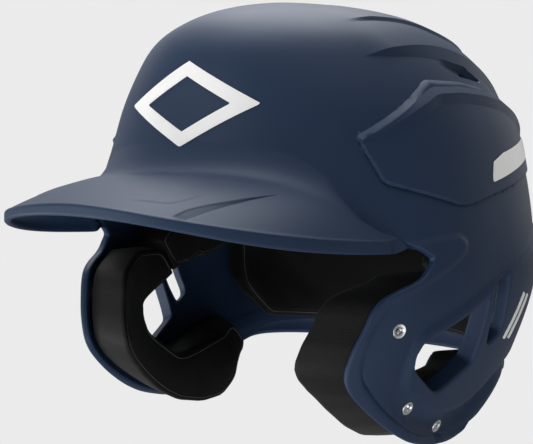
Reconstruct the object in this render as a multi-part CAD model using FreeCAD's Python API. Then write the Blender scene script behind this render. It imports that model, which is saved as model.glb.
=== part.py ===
import FreeCAD, Part
import math, os

# Batting helmet with two ear flaps.
# Frame: millimetres. X is sideways (+X is the wearer's left), the bill points to -Y,
# +Z is up. The origin is in the mid plane, level with the lowest points of the ear
# flaps, under the middle of the overall length. All tables count y from the crown;
# every solid moves by Y_SHIFT when it is exported.
# "Depth" is measured inwards from the outer surface, along its normal.

Vector = FreeCAD.Vector

# ---------------------------------------------------------------- shell sizes
SHELL_T = 3.5            # moulded wall thickness
RISE = 1.6               # side panels and ear surrounds stand proud by this much
WALL_T = 2.0             # return walls round the ear opening and the slot
WALL_TOP = 1.0           # depth at which those walls start, inside the shell wall
EAR_DEPTH = 9.0          # depth they reach
SLOT_DEPTH = 6.0
MITRE_LIMIT = 1.6        # longest corner of a grown outline, per half of the normals' sum
FAR = 200.0              # x beyond the widest point, for cutting prisms

# Outer surface stations: t, height, half width, front y, back y, squareness
STATIONS = [
    (0.000, 219.3,   0.0,    9.1,   9.1, 2.0),
    (0.060, 218.5,  18.8,  -25.0,  43.1, 2.0),
    (0.125, 214.9,  40.2,  -50.0,  66.2, 2.1),
    (0.190, 208.1,  56.3,  -70.2,  83.4, 2.1),
    (0.260, 197.4,  70.2,  -85.8,  98.6, 2.2),
    (0.340, 182.2,  83.2,  -94.0, 111.0, 2.2),
    (0.430, 161.8,  95.8,  -96.5, 120.4, 2.3),
    (0.520, 139.3, 103.8,  -99.8, 123.4, 2.3),
    (0.620, 112.0, 111.1, -104.2, 118.9, 2.4),
    (0.740,  78.0, 113.3, -109.1, 112.6, 2.5),
    (0.870,  38.0, 100.7, -114.8, 106.2, 2.6),
    (1.000,  -4.0,  84.7, -104.5,  96.3, 2.7),
]
# Heights of the loft sections of the outer surface
LEVELS = [-6.0, 8.0, 24.0, 42.0, 60.0, 78.0, 96.0, 113.0, 128.0, 142.0, 155.0, 167.0,
          178.0, 188.0, 196.5, 203.5, 209.0, 213.0, 216.0, 218.0, 218.95]
APEX_Z = STATIONS[0][1]
BOTTOM_Z = LEVELS[0]
SECTION_POINTS = 40      # points on each loft section
RAY_COUNT = 96           # sampled lines from crown to bottom
RAY_STEPS = 150          # steps along each line
RAY_END_T = 1.06         # the lines run on past the last station
INSIDE_POINT = Vector(0, 9, 90)      # tells outward normals from inward ones

# Side outline (y, z) of everything the shell keeps, seen along X
RIM = [(-130, 240), (-130, 128), (-101, 126.5), (-88, 121.5), (-79, 112), (-75, 101),
       (-70, 98), (-58, 97), (-50, 96.8), (-46, 95.4), (-44.7, 94), (-46.7, 90.6),
       (-49.6, 85.6), (-54, 83.2), (-60.8, 80.8), (-66.1, 78), (-69.2, 75.9), (-71.6, 73.0),
       (-73.8, 68.9), (-75.8, 61.4), (-78.7, 52.6), (-80, 43.9), (-79, 38.3), (-76.2, 33.4),
       (-70.6, 27.9), (-59.5, 19.6), (-44.8, 11), (-30.4, 4.8), (-11.7, 0.7), (6.1, 0.0),
       (21.5, 4.2), (37, 13.5), (53.5, 24.9), (62, 28.6), (70, 30.2), (85, 31), (130, 31),
       (140, 31), (140, 240)]

# Openings on each side, (y, z): ear opening, slot behind it, vent in the crown
EAR = [(-44.7, 56.0), (-16.9, 67.2), (-4.9, 73.4), (-3.2, 72.6), (0.4, 49.9), (0.2, 43.5),
       (-1.5, 41.2), (-21.4, 30.2), (-26.4, 30.3), (-45.6, 42.4), (-47.0, 49.5)]
SLOT = [(13.3, 83.2), (9.5, 83.0), (3.2, 80.3), (2.1, 77.2), (4.7, 62.5), (8.6, 52.3),
        (11.2, 51.4), (18.6, 55.4), (19.3, 58.4), (17.6, 66), (15.2, 74.5)]
VENT = [(24.0, 183.6), (25.5, 186.0), (30.6, 186.0), (38.0, 182.1), (36.6, 181.4),
        (28.0, 181.9)]

# Raised side panel and raised ear surround, (y, z)
PANEL = [(-66.2, 148.4), (-20.8, 177.3), (10, 178.6), (32, 177.4), (54, 174.5), (80, 168),
         (99, 157.5), (95, 147), (76, 137), (16.2, 124.7), (-12.8, 118.5), (-22.4, 118.1),
         (-60.4, 127.0)]
EAR_RIM = [(54.8, 100.8), (18.3, 88.2), (-4.6, 77.6), (-18.1, 72.1), (-35.9, 66.1),
           (-45.9, 61), (-49.1, 54.6), (-49.9, 44.7), (-49.4, 38), (-43.4, 31),
           (-32.4, 24.3), (-15.3, 18.4), (2.3, 16.4), (18.8, 21.4), (36.4, 31.3),
           (60.4, 39.5), (70, 60), (66, 90)]

# ---------------------------------------------------------------- bill sizes
BILL_T = 3.5             # bill wall thickness
LIP_H = 5.0              # height of the turned-down lip of the bill
LIP_W = 3.5              # width of that lip
BILL_HALF = 100.2        # plan outline: half width, tip, and where it runs into the flaps
BILL_TIP_Y = -168.8
BILL_END_Y = -45.9
BILL_X_POWER = 2.84      # exponents of the plan outline
BILL_Y_POWER = 2.11
BILL_POINTS = 41
BILL_BACK_Y = -20        # back of the bill blank, inside the dome
BILL_SINK = 0.6          # the bill enters the dome to this depth
# Bill top: factors of 1, Y, X, X^2, XY, X^2 Y, Y^2
# with X = (x/100)^2 and Y = (y - tip)/100
BILL_TOP = (114.556, 36.6, -25.469, -24.146, 34.647, -15.488, -21.075)
SHEET_HALF = 108.0       # the sheet of the bill top overhangs the plan outline
SHEET_FRONT_Y = -176.0
SHEET_BACK_Y = -18.0
SHEET_COLUMNS = 20
SHEET_ROWS = 16

# From the crown's y to the middle of the overall length
Y_SHIFT = -0.5 * (BILL_TIP_Y + max(row[4] for row in STATIONS))

# ---------------------------------------------------------------- threaded inserts
INSERTS = [(-59.8, 61.3), (-38.9, 22.6), (-6.6, 9.1)]        # (y, z) on the outer face
INSERT_LEN = 8.0
BARREL_PROUD = 0.3       # the barrel ends this far outside the outer surface
BARREL_D = 5.8
BARREL_HOLE_D = 6.0
FLANGE_D = 12.0
FLANGE_T = 1.2
CORE_D = 3.3             # core of an M4 thread
CORE_OVERRUN = 2.0       # the core cut runs past the barrel length at both ends
BOSS_D = 15.0            # flat seat inside the shell behind each insert
BOSS_DEPTH = 5.2         # depth of the seat face
BOSS_TOP = 1.5           # depth at which the seat starts, inside the shell wall
POCKET_D = BOSS_D + 2.0  # clearance round the seat in the jaw pad
POCKET_DEPTH = 10.5
POCKET_LEN = 12.0

# ---------------------------------------------------------------- pads
GAP = 1.6                # space between shell and pads, filled by hook-and-loop patches
PAD_DEPTH = SHELL_T + GAP
PAD_CLEAR = 3.0          # pads stay this far outside the ear opening and the slot
FRONT_T = 13.0
CROWN_T = 14.0
SIDE_T = 23.0
REAR_T = 18.0
JAW_T = 24.0

# Pad outlines, (y, z)
JAW = [(-23.6, 86.8), (-36, 86.2), (-45.2, 86.0), (-48.8, 84.9), (-53.4, 82.0), (-60.2, 79.2),
       (-65.4, 76.7), (-68.6, 74.4), (-70.7, 71.8), (-72.5, 68.0), (-74.5, 61.0),
       (-77.4, 52.2), (-78.6, 43.9), (-77.9, 38.8), (-75.1, 34.0), (-69.8, 28.6),
       (-58.8, 20.6), (-44.2, 12.2), (-30.0, 6.3), (-11.5, 3.2), (6, 4.6), (22, 11.5),
       (36, 20), (44.5, 26.5), (46.5, 31), (44.5, 37), (38.5, 42.3), (30, 41.0),
       (13.2, 35.6), (-8, 29.2), (-20.6, 26.4), (-27, 28.4), (-35.6, 33.9), (-41.4, 37.9),
       (-45.0, 42), (-45.6, 47), (-42.5, 54.5), (-34, 60.5), (-23.3, 63.6), (-11.6, 68.2),
       (-10.4, 71.4), (-13.2, 77.0), (-18.0, 83.8)]
FRONT = [(-125, 122.5), (-99, 121.5), (-86, 118.5), (-72, 114), (-58, 111.5), (-40, 109.5),
         (-24, 108), (-16, 110), (-16, 133), (-24, 142), (-60, 150), (-125, 152)]
SIDE = [(-22.3, 88.4), (-16.8, 84.6), (-12.2, 77.6), (-9.6, 71.2), (0, 72.4), (10, 76),
        (19, 79.4), (27, 82.6), (34, 85.4), (43, 89), (44, 94), (44, 128), (36, 138),
        (10, 142), (-5, 138), (-9, 131), (-10, 104), (-13.5, 99.0), (-17.6, 96.8),
        (-21.2, 92.4)]
REAR = [(56, 130), (56.4, 83.8), (55, 74.8), (54.7, 63.8), (59.1, 55.6), (64.4, 49.9),
        (69, 43.4), (76, 42.4), (140, 42.4), (140, 134), (66, 134)]
# Plan (x, y) of the slanted cut at the rear end of the left jaw pad
JAW_END = [(120, 70.3), (40, 3.7), (40, 95), (120, 95)]
# Crown pad: an ellipse in plan
CROWN_CENTRE_Y = 8.0
CROWN_HALF_WIDTH = 48.0
CROWN_HALF_LENGTH = 60.0
CROWN_POINTS = 48

# ---------------------------------------------------------------- outside marks
DECAL_T = 0.35
DECAL_LIFT = 0.02        # air between a mark and the surface under it
# Front mark, a lozenge band seen along Y
MARK_HALF_WIDTH = 41.0
MARK_HALF_HEIGHT = 20.5
MARK_BAND = 6.5
MARK_Z = 162.0
# Side label, a plain plate, (y, z)
LABEL = [(14.4, 141.2), (71.0, 153.6), (73.2, 152.4), (67.0, 143.4), (64.8, 142.4),
         (9.6, 128.9), (8.2, 129.8)]
# Small rear side mark: two slanted bars, (y, z)
BARS = [[(24.5, 52.5), (28.0, 51.5), (37.5, 74.0), (34.0, 75.5)],
        [(31.5, 52.0), (35.0, 51.0), (44.5, 73.0), (41.0, 74.5)]]


# ---------------------------------------------------------------- outer surface
def natural_spline(xs, ys):
    """Second derivatives of the natural cubic spline through the points."""
    n = len(xs)
    lower, diagonal, upper, right = [0.0] * n, [1.0] * n, [0.0] * n, [0.0] * n
    for i in range(1, n - 1):
        before = xs[i] - xs[i - 1]
        after = xs[i + 1] - xs[i]
        lower[i] = before
        diagonal[i] = 2 * (before + after)
        upper[i] = after
        right[i] = 6 * ((ys[i + 1] - ys[i]) / after - (ys[i] - ys[i - 1]) / before)
    for i in range(1, n):
        factor = lower[i] / diagonal[i - 1]
        diagonal[i] -= factor * upper[i - 1]
        right[i] -= factor * right[i - 1]
    bends = [0.0] * n
    bends[-1] = right[-1] / diagonal[-1]
    for i in range(n - 2, -1, -1):
        bends[i] = (right[i] - upper[i] * bends[i + 1]) / diagonal[i]
    return bends


STATION_T, *COLUMNS = [list(column) for column in zip(*STATIONS)]
BENDS = [natural_spline(STATION_T, column) for column in COLUMNS]


def station(t):
    """z, half width, front y, back y, squareness at t (straight on past the last one)."""
    i = 0
    while i < len(STATION_T) - 2 and t > STATION_T[i + 1]:
        i += 1
    step = STATION_T[i + 1] - STATION_T[i]
    values = []
    for ys, bends in zip(COLUMNS, BENDS):
        if t > STATION_T[-1]:
            slope = (ys[-1] - ys[-2]) / step + step * (bends[-2] + 2 * bends[-1]) / 6
            values.append(ys[-1] + slope * (t - STATION_T[-1]))
            continue
        u = (STATION_T[i + 1] - t) / step
        v = (t - STATION_T[i]) / step
        curve = (u ** 3 - u) * bends[i] + (v ** 3 - v) * bends[i + 1]
        values.append(u * ys[i] + v * ys[i + 1] + curve * step * step / 6)
    return values


def surface(theta, t):
    """Outer point; theta runs from the front (0) over the left side to the back (pi)."""
    z, half_width, front, back, squareness = station(t)
    sine, cosine = math.sin(theta), math.cos(theta)
    power = 2.0 / squareness
    x = half_width * math.copysign(abs(sine) ** power, sine)
    y = 0.5 * (front + back) - 0.5 * (back - front) * math.copysign(abs(cosine) ** power, cosine)
    return Vector(x, y, z)


def normal(theta, t):
    """Outward unit normal."""
    d_theta, d_t = 0.02, 1e-3
    if t < d_t:
        return Vector(0, 0, 1)
    around = surface(theta + d_theta, t) - surface(theta - d_theta, t)
    down = surface(theta, t + d_t) - surface(theta, t - d_t)
    outward = down.cross(around)
    outward.normalize()
    if outward.dot(surface(theta, t) - INSIDE_POINT) < 0:
        outward = outward * -1
    return outward


def bisect(low, high, too_low):
    for _ in range(50):
        middle = 0.5 * (low + high)
        if too_low(middle):
            low = middle
        else:
            high = middle
    return 0.5 * (low + high)


def surface_at(y, z):
    """Outer point and normal on the left side at (y, z)."""
    t = bisect(0.1, 1.0, lambda value: station(value)[0] > z)
    theta = bisect(0.02, math.pi - 0.02, lambda value: surface(value, t).y < y)
    return surface(theta, t), normal(theta, t)


def sample_ray(theta):
    """(point, normal) pairs from the crown to past the bottom."""
    ts = [RAY_END_T * j / RAY_STEPS for j in range(RAY_STEPS + 1)]
    return [(surface(theta, t), normal(theta, t)) for t in ts]


RAYS = [sample_ray(2 * math.pi * (i + 0.5) / RAY_COUNT) for i in range(RAY_COUNT)]
SEATS = [surface_at(y, z) for y, z in INSERTS]


# ---------------------------------------------------------------- domes and layers
def ray_at(ray, z):
    """Point where a line of points first passes height z."""
    for start, end in zip(ray, ray[1:]):
        if (start.z - z) * (end.z - z) <= 0 and start.z != end.z:
            return start + (end - start) * ((start.z - z) / (start.z - end.z))
    # a line that stays above z is dropped straight down from its end
    return Vector(ray[-1].x, ray[-1].y, z)


def start_at_back(points):
    """Turn the loop so that it starts in the mid plane at the back."""
    k = max(range(len(points)), key=lambda i: (points[i].y, -abs(points[i].x)))
    points = points[k:] + points[:k]
    if abs(points[0].x) <= 1e-6:
        return points
    if points[0].x * points[1].x < 0:
        return [(points[0] + points[1]) * 0.5] + points[1:] + [points[0]]
    return [(points[0] + points[-1]) * 0.5] + points


def section(rays, z):
    """Evenly spaced, left-right symmetric points of the closed section at height z."""
    points = start_at_back([ray_at(ray, z) for ray in rays])
    loop = points + [points[0]]
    lengths = [0.0]
    for start, end in zip(loop, loop[1:]):
        lengths.append(lengths[-1] + (end - start).Length)
    even = []
    k = 0
    for i in range(SECTION_POINTS):
        distance = lengths[-1] * i / SECTION_POINTS
        while lengths[k + 1] < distance:
            k += 1
        part = (distance - lengths[k]) / (lengths[k + 1] - lengths[k])
        even.append(loop[k] + (loop[k + 1] - loop[k]) * part)
    opposite = [even[-i % SECTION_POINTS] for i in range(SECTION_POINTS)]
    return [Vector(0.5 * (p.x - q.x), 0.5 * (p.y + q.y), z) for p, q in zip(even, opposite)]


DOMES = {}               # lofts already made, by depth


def dome(depth):
    """Solid filled inside the surface at this depth; a negative depth lies outside."""
    if depth not in DOMES:
        rays = [[point - outward * depth for point, outward in ray] for ray in RAYS]
        squeeze = (APEX_Z - depth - BOTTOM_Z) / (APEX_Z - BOTTOM_Z)
        wires = []
        for z in LEVELS:
            curve = Part.BSplineCurve()
            curve.interpolate(Points=section(rays, BOTTOM_Z + (z - BOTTOM_Z) * squeeze),
                              PeriodicFlag=True,
                              Parameters=[float(i) for i in range(SECTION_POINTS + 1)])
            wires.append(Part.Wire([curve.toShape()]))
        DOMES[depth] = Part.makeLoft(wires, True, False, False)
    return DOMES[depth].copy()


def layer(outer_depth, inner_depth):
    return dome(outer_depth).cut(dome(inner_depth))


# ---------------------------------------------------------------- solid helpers
def prism(points, direction):
    return Part.Face(Part.makePolygon(points + [points[0]])).extrude(direction)


def prism_x(outline, x_from, x_to=FAR):
    return prism([Vector(x_from, y, z) for y, z in outline], Vector(x_to - x_from, 0, 0))


def prism_y(outline, y_from, y_to):
    return prism([Vector(x, y_from, z) for x, z in outline], Vector(0, y_to - y_from, 0))


def prism_z(outline, z_from, height):
    return prism([Vector(x, y, z_from) for x, y in outline], Vector(0, 0, height))


def grown_prism(outline, grow):
    """Prism along X of an outline grown outwards, with mitred corners."""
    following = outline[1:] + outline[:1]
    area = sum(p[0] * q[1] - q[0] * p[1] for p, q in zip(outline, following))
    turn = 1.0 if area > 0 else -1.0
    normals = [(Vector(q[1] - p[1], p[0] - q[0], 0) * turn).normalize()
               for p, q in zip(outline, following)]
    grown = []
    for k, (y, z) in enumerate(outline):
        corner = normals[k - 1] + normals[k]
        corner = corner * min(MITRE_LIMIT, 2.0 / corner.dot(corner))
        grown.append((y + corner.x * grow, z + corner.y * grow))
    return prism_x(grown, 40)


def seat_cylinder(seat, diameter, depth, length):
    """Cylinder on an insert's axis, from this depth outwards."""
    point, outward = seat
    return Part.makeCylinder(diameter / 2, length, point - outward * depth, outward)


def mirrored(shape):
    return shape.mirror(Vector(0, 0, 0), Vector(1, 0, 0))


def both(shape):
    return shape, mirrored(shape)


def largest(shape):
    return max(shape.Solids, key=lambda solid: solid.Volume)


# ---------------------------------------------------------------- bill
def bill_blank(inset):
    """Upright prism of the bill's plan outline, from the left end round the tip."""
    raw = []
    for k in range(BILL_POINTS):
        s = math.cos(math.pi * k / (BILL_POINTS - 1))
        reach = max(0.0, 1 - abs(s) ** BILL_X_POWER) ** (1 / BILL_Y_POWER)
        raw.append((BILL_HALF * s, BILL_END_Y - (BILL_END_Y - BILL_TIP_Y) * reach))
    z = 60
    points = []
    for k, (x, y) in enumerate(raw):
        x0, y0 = raw[max(k - 1, 0)]
        x1, y1 = raw[min(k + 1, BILL_POINTS - 1)]
        dx, dy = x1 - x0, y1 - y0
        length = math.hypot(dx, dy)
        points.append(Vector(x + inset * dy / length, y - inset * dx / length, z))
    curve = Part.BSplineCurve()
    curve.interpolate(Points=points)
    left, right = points[0], points[-1]
    back = Part.makePolygon([right, Vector(right.x, BILL_BACK_Y, z),
                             Vector(left.x, BILL_BACK_Y, z), left])
    return Part.Face(Part.Wire([curve.toShape()] + back.Edges)).extrude(Vector(0, 0, 120))


def bill_top(x, y):
    X = (x / 100.0) ** 2
    Y = (y - BILL_TIP_Y) / 100.0
    return sum(f * term for f, term in zip(BILL_TOP, (1, Y, X, X * X, X * Y, X * X * Y, Y * Y)))


def make_bill():
    xs = [-SHEET_HALF + 2 * SHEET_HALF * i / SHEET_COLUMNS for i in range(SHEET_COLUMNS + 1)]
    rows = []
    for j in range(SHEET_ROWS + 1):
        y = SHEET_FRONT_Y + (SHEET_BACK_Y - SHEET_FRONT_Y) * j / SHEET_ROWS
        rows.append([Vector(x, y, bill_top(x, y)) for x in xs])
    top = Part.BSplineSurface()
    top.interpolate(rows)
    sheet = top.toShape()
    whole = bill_blank(0.0)
    web = sheet.extrude(Vector(0, 0, -BILL_T)).common(whole)
    lip = sheet.extrude(Vector(0, 0, -LIP_H)).common(whole.cut(bill_blank(LIP_W)))
    return web.fuse(lip)


# ---------------------------------------------------------------- shell and inserts
def make_shell():
    body = dome(0.0)
    raised = dome(-RISE)
    for outline in (PANEL, EAR_RIM):
        for side in both(raised.common(prism_x(outline, 30))):
            body = body.fuse(side)
    body = body.common(prism_x(RIM, -FAR))
    body = body.cut(dome(SHELL_T))
    body = body.fuse(make_bill().cut(dome(BILL_SINK)))
    for seat in SEATS:
        for boss in both(seat_cylinder(seat, BOSS_D, BOSS_DEPTH, BOSS_DEPTH - BOSS_TOP)):
            body = body.fuse(boss)
    for outline, depth in ((EAR, EAR_DEPTH), (SLOT, SLOT_DEPTH)):
        for block in both(layer(WALL_TOP, depth).common(grown_prism(outline, WALL_T))):
            body = body.fuse(block)
    cutters = [seat_cylinder(seat, BARREL_HOLE_D, depth=20, length=30) for seat in SEATS]
    cutters += [prism_x(outline, 40) for outline in (EAR, SLOT, VENT)]
    for cutter in cutters:
        for side in both(cutter):
            body = body.cut(side)
    return largest(body)


def make_insert(seat):
    barrel = seat_cylinder(seat, BARREL_D, INSERT_LEN, INSERT_LEN + BARREL_PROUD)
    flange = seat_cylinder(seat, FLANGE_D, BOSS_DEPTH + FLANGE_T, FLANGE_T)
    core = seat_cylinder(seat, CORE_D, INSERT_LEN + CORE_OVERRUN,
                         INSERT_LEN + 2 * CORE_OVERRUN)
    return barrel.fuse(flange).cut(core)


# ---------------------------------------------------------------- pads and patches
def make_pad(thickness, block, cutters=()):
    """Layer of foam under the shell, kept inside the block."""
    pad = layer(PAD_DEPTH, PAD_DEPTH + thickness).common(block)
    for cutter in cutters:
        pad = pad.cut(cutter)
    return largest(pad)


def crown_block():
    outline = []
    for k in range(CROWN_POINTS):
        angle = 2 * math.pi * k / CROWN_POINTS
        outline.append((CROWN_HALF_WIDTH * math.cos(angle),
                        CROWN_CENTRE_Y + CROWN_HALF_LENGTH * math.sin(angle)))
    return prism_z(outline, 150, 90)


def export_pads():
    pockets = [seat_cylinder(seat, POCKET_D, POCKET_DEPTH, POCKET_LEN) for seat in SEATS]
    clearances = [grown_prism(outline, PAD_CLEAR) for outline in (EAR, SLOT)]
    jaw_end = prism_z(JAW_END, -20, 80)
    export_pair("pad_jaw", [make_pad(JAW_T, prism_x(JAW, 20), pockets + clearances + [jaw_end])])
    export_pair("pad_side", [make_pad(SIDE_T, prism_x(SIDE, 20), clearances)])
    export("pad_front", [make_pad(FRONT_T, prism_x(FRONT, -FAR))])
    export("pad_rear", [make_pad(REAR_T, prism_x(REAR, -FAR))])
    export("pad_crown", [make_pad(CROWN_T, crown_block())])


def export_patches():
    """Round hook-and-loop patches that fill the gap between shell and pads."""
    film = layer(SHELL_T, PAD_DEPTH)

    def patches(starts, direction, radius, length):
        found = []
        for start in starts:
            disc = film.common(Part.makeCylinder(radius, length, Vector(*start),
                                                 Vector(*direction)))
            found += [solid for solid in disc.Solids if solid.Volume > 1.0]
        return found

    export_pair("hook_jaw", patches([(20, -60, 44), (20, -20, 16), (20, 31, 28)],
                                    (1, 0, 0), radius=7, length=180))
    export_pair("hook_side", patches([(20, 12, 101), (20, 24, 123)],
                                     (1, 0, 0), radius=10, length=180))
    export("hook_front", patches([(x, -20, 136) for x in (-45, 0, 45)],
                                 (0, -1, 0), radius=9, length=130))
    export("hook_rear", patches([(x, 20, 90) for x in (-42, 42)],
                                (0, 1, 0), radius=12, length=130))
    export("hook_crown", patches([(0, y, 150) for y in (-18, 36)],
                                 (0, 0, 1), radius=13, length=80))


# ---------------------------------------------------------------- outside marks
def skin(rise):
    """Thin layer over a surface that stands proud by this much."""
    return layer(-rise - DECAL_LIFT - DECAL_T, -rise - DECAL_LIFT)


def lozenge(scale):
    width, height = MARK_HALF_WIDTH * scale, MARK_HALF_HEIGHT * scale
    outline = [(width, MARK_Z), (0, MARK_Z + height), (-width, MARK_Z), (0, MARK_Z - height)]
    return prism_y(outline, -140, -20)


def export_marks():
    slant = math.hypot(MARK_HALF_WIDTH, MARK_HALF_HEIGHT)
    inner_scale = 1 - MARK_BAND * slant / (MARK_HALF_WIDTH * MARK_HALF_HEIGHT)
    export("emblem_front", [largest(skin(0.0).common(lozenge(1.0)).cut(lozenge(inner_scale)))])
    raised_skin = skin(RISE)
    export_pair("label", [largest(raised_skin.common(prism_x(LABEL, 40)))])
    export_pair("mark_rear", [largest(raised_skin.common(prism_x(bar, 30))) for bar in BARS])


# ---------------------------------------------------------------- export
def export(name, pieces):
    for piece in pieces:
        piece.translate(Vector(0, Y_SHIFT, 0))
    shape = pieces[0] if len(pieces) == 1 else Part.makeCompound(pieces)
    shape.exportStep("parts/%s.step" % name)


def export_pair(name, left):
    right = [mirrored(piece) for piece in left]
    export(name + "_left", left)
    export(name + "_right", right)


os.makedirs("parts", exist_ok=True)
export("shell", [make_shell()])
export_pair("inserts", [make_insert(seat) for seat in SEATS])
export_pads()
export_patches()
export_marks()
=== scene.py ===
"""A hard helmet with a bill and ear openings: shell, padding, threaded inserts, white marks.

Lengths are millimetres until a mesh is made. x points to the wearer's left, -y forwards
and z up. Outlines count y from the crown, the frame counts it from mid length.
"""
import math

import bmesh
import bpy
import numpy as np
from mathutils import Matrix, Vector


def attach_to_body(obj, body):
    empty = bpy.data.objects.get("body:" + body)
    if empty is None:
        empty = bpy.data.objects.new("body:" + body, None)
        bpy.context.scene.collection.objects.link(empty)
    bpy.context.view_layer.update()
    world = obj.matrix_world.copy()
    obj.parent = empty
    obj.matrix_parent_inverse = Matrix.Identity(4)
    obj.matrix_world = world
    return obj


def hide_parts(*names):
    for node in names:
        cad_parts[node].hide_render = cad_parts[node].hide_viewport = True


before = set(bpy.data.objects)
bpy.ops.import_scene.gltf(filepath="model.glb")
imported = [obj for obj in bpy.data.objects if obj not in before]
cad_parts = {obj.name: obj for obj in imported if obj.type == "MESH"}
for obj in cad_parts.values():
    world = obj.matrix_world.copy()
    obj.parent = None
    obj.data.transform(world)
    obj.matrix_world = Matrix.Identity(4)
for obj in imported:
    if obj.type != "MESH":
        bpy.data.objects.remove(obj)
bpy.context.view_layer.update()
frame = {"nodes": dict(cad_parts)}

MM = 0.001
CROWN_TO_MID = 22.7
OFFSET = np.array([0.0, CROWN_TO_MID, 0.0])
MIRROR = np.array([-1, 1, 1])
SIDES = (("left", 1), ("right", -1))
FAR = np.inf
ALL = (-FAR, FAR)

WALL = 3.5                 # shell thickness
EDGE_RADIUS = WALL / 2
INSERT_HOLE = 2.95         # radius of the holes for the inserts
EAR_WALL_DEPTH = 9.5       # return wall round the ear opening
SLOT_WALL_DEPTH = 7.0      # return wall round the slot behind it


# =====================================================================
# Small numeric helpers
# =====================================================================
def clip01(x):
    return np.clip(x, 0, 1)


def ramp(x, start=0.0, end=1.0):
    """Smooth step from 0 at start to 1 at end; start may be the larger."""
    share = clip01((x - start) / (end - start))
    return share * share * (3 - 2 * share)


def unit(vectors):
    return vectors / np.maximum(np.linalg.norm(vectors, axis=-1, keepdims=True), 1e-9)


def signed_power(x, power):
    return np.sign(x) * np.abs(x) ** power


def run_length(points):
    """Length along a line at each of its points."""
    steps = np.linalg.norm(np.diff(points, axis=0), axis=1)
    return np.concatenate([[0], np.cumsum(steps)])


def soften(values, passes):
    """Blur values that run round a closed loop."""
    for _ in range(passes):
        values = (np.roll(values, 1, 0) + 2 * values + np.roll(values, -1, 0)) / 4
    return values


def yz(points):
    return points[:, 1:3]


def plan(points):
    """Points as (distance from the middle plane, y)."""
    return np.stack([np.abs(points[:, 0]), points[:, 1]], 1)


def zone(x=ALL, y=ALL, z=ALL, side=0):
    """Test for points in a box; x counts from the middle plane, on one side if given."""
    def test(points):
        across = points[:, 0] * side if side else np.abs(points[:, 0])
        values = (across, points[:, 1], points[:, 2])
        return np.all([(v > low) & (v < high)
                       for v, (low, high) in zip(values, (x, y, z))], axis=0)
    return test


def nearest(points, line, closed):
    """Distance, side and run at the nearest spot of a line.

    Side is 1 inside a closed outline or left of an open line, and -1 elsewhere.
    """
    line = np.asarray(line, float)
    start, end = (line, np.roll(line, -1, 0)) if closed else (line[:-1], line[1:])
    step = end - start
    square = np.maximum((step ** 2).sum(1), 1e-12)
    run = np.concatenate([[0], np.cumsum(np.sqrt(square))])
    result = np.empty((3, len(points)))
    batch = 20000          # limits the memory taken
    for first in range(0, len(points), batch):
        part = points[first:first + batch]
        offset = part[:, None] - start[None]
        along = clip01((offset * step[None]).sum(-1) / square[None])
        apart = ((offset - along[..., None] * step[None]) ** 2).sum(-1)
        k = apart.argmin(1)
        row = np.arange(len(part))
        if closed:
            height = part[:, 1:2]
            spans = (start[:, 1] > height) != (end[:, 1] > height)
            rise = np.where(np.abs(step[:, 1]) < 1e-12, 1e-12, step[:, 1])
            crossing = start[:, 0] + (height - start[:, 1]) * step[:, 0] / rise
            positive = (spans & (part[:, :1] < crossing)).sum(1) % 2 == 1
        else:
            positive = (step[k, 0] * offset[row, k, 1] - step[k, 1] * offset[row, k, 0]) >= 0
        result[:, first:first + batch] = (np.sqrt(apart[row, k]), np.where(positive, 1, -1),
                                          run[k] + along[row, k] * np.sqrt(square[k]))
    return result


def inside(points, outline):
    """Distance inside a closed outline, negative outside."""
    distance, side, _ = nearest(points, outline, closed=True)
    return distance * side


def beside(points, line):
    """Distance, side and run for an open line."""
    return nearest(points, line, closed=False)


def round_corners(points, passes=2, closed=True, share=0.25):
    """Cut every corner of a line, several times over."""
    line = np.asarray(points, float)
    for _ in range(passes):
        here, after = (line, np.roll(line, -1, 0)) if closed else (line[:-1], line[1:])
        cut = np.stack([here * (1 - share) + after * share,
                        here * share + after * (1 - share)], 1).reshape(-1, 2)
        line = cut if closed else np.concatenate([line[:1], cut, line[-1:]])
    return line


# =====================================================================
# Outlines seen from the side, as (y, z)
# =====================================================================
RIM = round_corners([
    (-140, 240), (-140, 142.5), (-101, 142.5), (-94, 141), (-87, 137), (-82, 130.5),
    (-78.5, 121), (-75, 110), (-71, 105), (-65.5, 102.6), (-59, 101.2), (-54.5, 99.6),
    (-50.5, 97.6), (-47.3, 95.6), (-44.7, 93.6), (-46.7, 90.6), (-49.6, 86.2), (-54, 83.2),
    (-60.8, 80.4), (-66.1, 77.8), (-69.6, 75.4), (-71.9, 72.4), (-73.8, 68.4), (-75.8, 61.4),
    (-78.7, 52.6), (-79.9, 43.9), (-79.2, 38.3), (-76.2, 33.2), (-70.6, 27.6), (-59.5, 19.4),
    (-44.8, 11), (-30.4, 4.8), (-11.7, 0.7), (6.1, 0.1), (21.5, 4.2), (37, 13.5), (53.5, 24.9),
    (62, 28.6), (70, 30.2), (85, 31), (140, 31), (150, 31), (150, 240)], share=0.2)
EAR_OPENING = round_corners([
    (-44.7, 56.0), (-16.9, 67.2), (-4.4, 74.2), (-2.6, 73.0), (0.4, 49.9), (0.2, 43.0),
    (-1.5, 41.0), (-20.6, 30.0), (-26.4, 30.3), (-45.8, 42.4), (-47.2, 49.5)], share=0.18)
SLOT = round_corners([
    (14.3, 84.6), (9.5, 83.2), (3.2, 80.3), (1.9, 77.2), (4.7, 62.0), (8.6, 51.3), (11.2, 50.6),
    (18.8, 55.2), (19.5, 58.4), (17.6, 66), (15.2, 75.5)], share=0.18)
PANEL_UPPER = [(104, 152.5), (99, 157.5), (80, 168), (54, 174.5), (32, 177.4), (10, 178.6),
               (-20.8, 177.3), (-66.2, 148.4)]
PANEL_LOWER = [(-66.2, 148.4), (-60.4, 127.0), (-22.4, 118.1), (-12.8, 118.5), (16.2, 124.7),
               (76, 137), (95, 147), (104, 152.5)]
PANEL = round_corners(PANEL_UPPER[::-1][:-1] + PANEL_LOWER[::-1][:-1], 1, share=0.04)
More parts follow.
